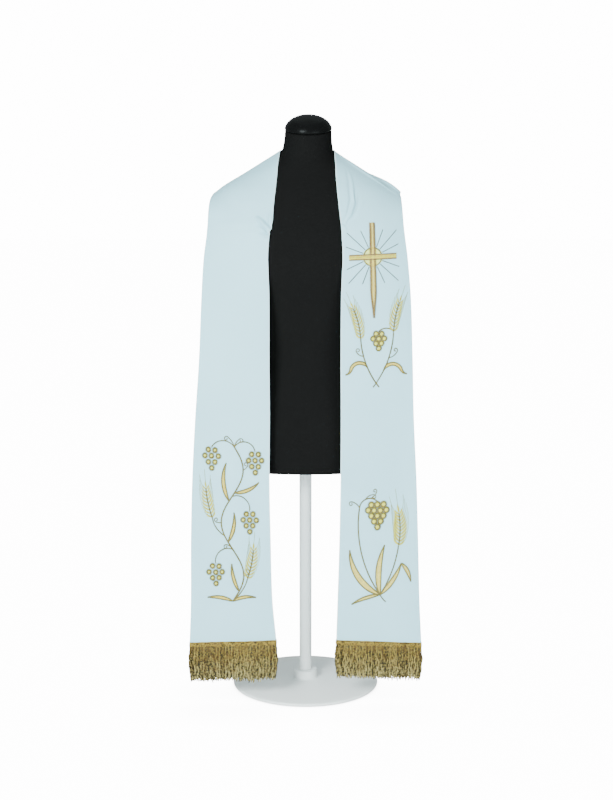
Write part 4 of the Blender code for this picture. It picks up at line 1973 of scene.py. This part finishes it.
    def make_heading(self, tree: bpy.types.NodeTree, finishes: FinishBook) -> bpy.types.Object:
        """The braid: straight cords at its edges and over its back, with a plait between.

        Args:
            tree: the group that makes cords.
            finishes: the materials.

        Returns:
            The dressed heading.
        """
        share = np.linspace(-0.5, 0.5, 240)
        points, forward, length = self.hem(share)
        run = (share + 0.5) * length
        laid = [(below, np.full_like(run, proud), radius, tone) for below, proud, radius, tone in self.braid]
        for k in range(self.plait_cords):
            turn = 2 * np.pi * (run / self.plait_length + k / self.plait_cords)
            below = self.plait_middle + self.plait_reach * np.sin(turn)
            laid.append((below, 2.2 + 0.5 * np.sin(2 * turn + k * np.pi), 0.85, 0.62))
        cords = []
        for k, (below, proud, radius, tone) in enumerate(laid):
            for face, phase in ((1, 0.7), (-1, 2.1)):
                path = points + forward * (proud * face)[:, None]
                path[:, 2] -= below + 0.15 * np.sin(share * 2 * math.pi * 9 + k * 1.7)
                shown = np.clip(tone + 0.3 * smooth_noise(run, 40 + k, 7.0), 0, 1)
                cords.append((path, np.full_like(run, radius), shown, k * 1.9 + phase))
        numbers = {"Step": 0.0011, "Turns per metre": 130.0, "Groove": 0.72}
        return self.lay("heading", cords, tree, finishes.braid, numbers)


@dataclass
class DressForm:
    """The limbless form in its jersey cover, with its lacquered neck cap."""

    sides: int = 144
    row_height: float = 7.0
    edge_rounding: float = 4.0
    cap_radius: float = 47.0
    cap_height: float = 30.0
    cap_sides: int = 96
    rim_radius: float = 2.5
    rim_inset: float = 2.9
    rim_height: float = 3.6

    def level_ring(self, height: float, inset: float = 0.0, drop: float = 0.0) -> np.ndarray:
        """The points of one level.

        Args:
            height: the level's height.
            inset: how far inside the surface they lie.
            drop: how far they are lowered.

        Returns:
            The ring of points.
        """
        centre, middle, half_width, half_depth, power, tilt = (float(v) for v in FORM.level(height))
        angles = np.linspace(0, 2 * np.pi, self.sides, endpoint=False)
        cosine, sine = np.cos(angles), np.sin(angles)
        x = (half_width - inset) * np.sign(cosine) * np.abs(cosine) ** (2 / power)
        y = (half_depth - inset) * np.sign(sine) * np.abs(sine) ** (2 / power)
        z = height - drop + y * math.tan(tilt)
        return np.column_stack([centre + x, middle + y, z])

    def make_body(self, finishes: FinishBook) -> bpy.types.Object:
        """The torso and neck, with a rounded lower edge.

        Args:
            finishes: the materials.

        Returns:
            The dressed body.
        """
        count = round((FORM.top - FORM.bottom) / self.row_height)
        heights = np.linspace(FORM.bottom + self.edge_rounding, FORM.top, count)
        rings = []
        for angle in (90, 60, 30):
            inset = self.edge_rounding * (1 - math.cos(math.radians(angle)))
            below = self.edge_rounding * math.sin(math.radians(angle))
            rings.append(self.level_ring(heights[0], inset, below))
        rings += [self.level_ring(height) for height in heights]
        stack = np.array(rings)
        around = distances_round(stack)
        around *= np.mean(around[:, -1]) / around[:, -1:]
        uv = loft_uv(around, stack[:, 0, 2])
        uv += [(x, y) for x, y, _ in reversed(stack[0])]
        uv += [(x, y) for x, y, _ in stack[-1]]
        points = stack.reshape(-1, 3)
        piece = new_piece("form_body", points, loft(stack), finishes.jersey, np.array(uv) * MM, 50)
        return dress(piece, ("dress_form",))

    def make_cap(self, finishes: FinishBook) -> bpy.types.Object:
        """The dome with its rolled rim over a narrow groove, square on the neck's tilted top.

        Args:
            finishes: the materials.

        Returns:
            The dressed cap.
        """
        rolled = self.cap_radius - self.rim_inset
        dome = arc((0.0, 0.0), (self.cap_radius, self.cap_height), 90, 8.3, 22)
        rim = arc((rolled, self.rim_height), (self.rim_radius, self.rim_radius), 17, -90, 8)
        groove = [(rolled, 0.0), (0.0, 0.0)]
        points, faces = turned([(0.0, self.cap_height), *dome[1:], *rim[1:], *groove], self.cap_sides)
        centre, middle, _, _, _, tilt = (float(v) for v in FORM.level(FORM.top))
        lean = np.array(Matrix.Rotation(tilt, 3, "X"))
        placed = (points + [0, 0, SEAM_GAP]) @ lean.T + [centre, middle, FORM.top]
        piece = new_piece("form_neck_cap", placed, faces, finishes.lacquer, sharp_angle=50)
        return dress(piece, ("neck_cap",))


@dataclass
class Stand:
    """The pole with its flange, and the round foot."""

    pole_radius: float = 12.5
    flange_radius: float = 45.0
    flange_thickness: float = 4.0
    flange_rounding: float = 0.8
    weld: float = 3.0
    foot_radius: float = 150.0
    foot_edge: float = 7.0
    foot_crown: float = 12.0
    foot_bevel: float = 18.0
    boss_radius: float = 24.0
    boss_height: float = 30.0
    boss_rounding: float = 3.0
    boss_clearance: float = 2.0
    crown_start: float = 20.0
    crown_drop: float = 0.4
    sides: int = 96

    def make_pole(self, finishes: FinishBook) -> bpy.types.Object:
        """The pole and its flange, with softened edges and a weld at the corner.

        Args:
            finishes: the materials.

        Returns:
            The dressed pole.
        """
        top = FORM.bottom - SEAM_GAP
        under = top - self.flange_thickness
        soft, weld = self.flange_rounding, self.weld
        profile = [(0.0, top), (self.flange_radius - soft, top)]
        profile += arc((self.flange_radius - soft, top - soft), (soft, soft), 90, 0, 3)[1:]
        profile += arc((self.flange_radius - soft, under + soft), (soft, soft), 0, -90, 3)
        profile += arc((self.pole_radius + weld, under - weld), (weld, weld), 90, 180, 5)
        profile += [(self.pole_radius, self.boss_height + SEAM_GAP), (0.0, self.boss_height + SEAM_GAP)]
        points, faces = turned(profile, self.sides)
        piece = new_piece("stand_pole", points, faces, finishes.steel)
        return dress(piece, ("pole",))

    def make_foot(self, finishes: FinishBook) -> bpy.types.Object:
        """The foot: a low crown, a rounded edge and the boss that the pole stands in.

        Args:
            finishes: the materials.

        Returns:
            The dressed foot.
        """
        rounding = self.foot_edge / 2
        soft = self.boss_rounding
        knee = (self.foot_radius - self.foot_bevel, (self.foot_crown + self.foot_edge) / 2)
        profile = [(0.0, self.boss_height), (self.pole_radius + self.boss_clearance, self.boss_height)]
        profile += arc((self.boss_radius - soft, self.boss_height - soft), (soft, soft), 90, 0, 5)
        profile += arc((self.boss_radius + soft, self.foot_crown + soft), (soft, soft), 180, 270, 5)
        profile += [(self.boss_radius + self.crown_start, self.foot_crown - self.crown_drop), knee]
        profile += arc((self.foot_radius - rounding, rounding), (rounding, rounding), 90, -90, 10)
        profile.append((0.0, 0.0))
        points, faces = turned(profile, self.sides)
        piece = new_piece("stand_foot", points, faces, finishes.steel)
        return dress(piece, ("foot",))


@dataclass
class Studio:
    """Camera, soft lights, pale floor and white surroundings, in metres.

    The camera sees the surroundings and the floor at strengths of their own, so that both are white.
    """

    distance: float = 3.2
    pitch: float = 10.0
    target: Place = (0.002, -0.125, 0.62)
    lit: Place = (0.0, 0.0, 0.65)
    metres_per_pixel: float = 0.00195
    frame_height: int = 800
    sensor: float = 36.0
    tint: Colour = (0.86, 0.985, 1.0)
    surroundings: float = 0.5
    surroundings_seen: float = 15.0
    floor_seen: float = 16.0
    floor_reach: float = 12.0

    def make_camera(self) -> None:
        """The camera, looking slightly down on the fronts."""
        camera = bpy.data.cameras.new("camera")
        camera.sensor_width = self.sensor
        camera.lens = self.sensor * self.distance / (self.metres_per_pixel * self.frame_height)
        camera.clip_end = 100.0
        holder = bpy.data.objects.new("camera", camera)
        tilt = math.radians(self.pitch)
        back = Vector((0.0, -math.cos(tilt), math.sin(tilt)))
        holder.location = Vector(self.target) + back * self.distance
        holder.rotation_euler = (math.pi / 2 - tilt, 0.0, 0.0)
        bpy.context.scene.collection.objects.link(holder)
        bpy.context.scene.camera = holder

    def make_light(
        self, name: str, place: Place, size: Point, power: float, mirrored: bool = True
    ) -> None:
        """One soft area light that faces the middle of the stole.

        Args:
            name: the light's name.
            place: where it stands, in metres.
            size: its width and height, in metres.
            power: in watts.
            mirrored: whether glossy surfaces show it.
        """
        light = bpy.data.lights.new(name, "AREA")
        light.shape = "RECTANGLE"
        light.size, light.size_y = size
        light.energy = power
        light.color = self.tint
        holder = bpy.data.objects.new(name, light)
        holder.location = place
        holder.visible_glossy = mirrored
        holder.rotation_euler = (Vector(self.lit) - Vector(place)).to_track_quat("-Z", "Y").to_euler()
        bpy.context.scene.collection.objects.link(holder)

    def make_world(self) -> None:
        """White surroundings, brighter to the camera than they light."""
        world = bpy.data.worlds.new("surroundings")
        world.use_nodes = True
        bpy.context.scene.world = world
        tree = Tree(world.node_tree)
        seen = tree.node("ShaderNodeLightPath", {}, {}, "Is Camera Ray")
        lighting = {"Color": (*self.tint, 1.0), "Strength": self.surroundings}
        white = {"Color": (1.0, 1.0, 1.0, 1.0), "Strength": self.surroundings_seen}
        soft = tree.node("ShaderNodeBackground", {}, lighting)
        bright = tree.node("ShaderNodeBackground", {}, white)
        both = tree.node("ShaderNodeMixShader", {}, {0: seen, 1: soft, 2: bright})
        tree.node("ShaderNodeOutputWorld", {}, {"Surface": both})

    def make_floor(self) -> None:
        """A plain pale floor, as white to the camera as its surroundings but for painted contact shadows."""
        surface = Surface("pale_floor")
        paint = {"Base Color": (0.93, 0.93, 0.935, 1.0), "Roughness": 0.7}
        lit = surface.node("ShaderNodeBsdfPrincipled", {}, paint)
        # the camera sees an emission darkened by ambient occlusion near the stand: a painted contact shadow
        near = surface.node("ShaderNodeAmbientOcclusion", {"samples": 4}, {"Distance": 0.16}, "AO")
        glow = surface.mix(near, (0.25, 0.25, 0.255), (1.0, 1.0, 1.0))
        white = surface.node("ShaderNodeEmission", {}, {"Color": glow, "Strength": self.floor_seen})
        seen = surface.node("ShaderNodeLightPath", {}, {}, "Is Camera Ray")
        both = surface.node("ShaderNodeMixShader", {}, {0: seen * 0.9, 1: lit, 2: white})
        surface.node("ShaderNodeOutputMaterial", {}, {"Surface": both})
        reach = self.floor_reach / MM
        corners = [(-reach, -reach, 0), (reach, -reach, 0), (reach, reach, 0), (-reach, reach, 0)]
        floor = new_piece("floor", np.array(corners), [(0, 1, 2, 3)], surface.material)

    def make(self) -> None:
        """Everything round the object."""
        self.make_camera()
        self.make_world()
        self.make_floor()
        self.make_light("key", (-1.5, -2.9, 2.0), (1.1, 1.1), power=241.0)
        self.make_light("fill", (2.0, -2.8, 1.0), (1.8, 1.8), power=76.0)
        self.make_light("top", (0.0, 0.4, 3.2), (2.2, 2.2), power=12.0)
        self.make_light("rim", (-0.1, -3.6, 1.0), (2.4, 0.25), power=26.0)
        self.make_light("back", (0.8, 3.3, 1.9), (2.0, 2.0), power=60.0, mirrored=False)


def main() -> None:
    """Build the looks around the frame."""
    logging.basicConfig(level=logging.INFO, format="%(message)s")
    Studio().make()
    finishes = make_finishes()
    stitches = stitch_tree()
    cords = cord_tree()

    form = DressForm()
    form.make_body(finishes)
    form.make_cap(finishes)
    stand = Stand()
    stand.make_pole(finishes)
    stand.make_foot(finishes)

    left = ClothSurface("left_cloth", 1, LEFT_SECTIONS, LEFT_CREASES)
    right = ClothSurface("right_cloth", -1, RIGHT_SECTIONS, RIGHT_CREASES)
    designs = (
        (Hoop("rayed_cross", left, anchor=(129.7, 897.8)), cross_design()),
        (Hoop("vine", right, anchor=(-136.8, 211.4), stretch=1.045), vine_design()),
        (Hoop("wheat_and_leaves", left, anchor=(172.6, 224.8), stretch=1.06), sprig_design()),
    )
    sewn: dict[str, list[bpy.types.Object]] = {left.name: [], right.name: []}
    for hoop, motifs in designs:
        for motif in motifs:
            motif.draw(hoop)
        sewn[hoop.cloth.name] += hoop.sew(stitches, finishes)
    halves = (
        StoleHalf(left, "left_half", cut=(0.201, 1.169), cut_area=0.1683, fringe_length=67.5),
        StoleHalf(right, "right_half", cut=(0.2025, 1.166), cut_area=0.1683, fringe_length=72.0),
    )
    for half in halves:
        surface = half.surface
        cloth = half.make(finishes)
        fringe = BullionFringe(surface, half.node.replace("half", "fringe"), half.fringe_length)
        strands = fringe.make_strands(cords, finishes)
        heading = fringe.make_heading(cords, finishes)


if __name__ == "__main__":
    main()
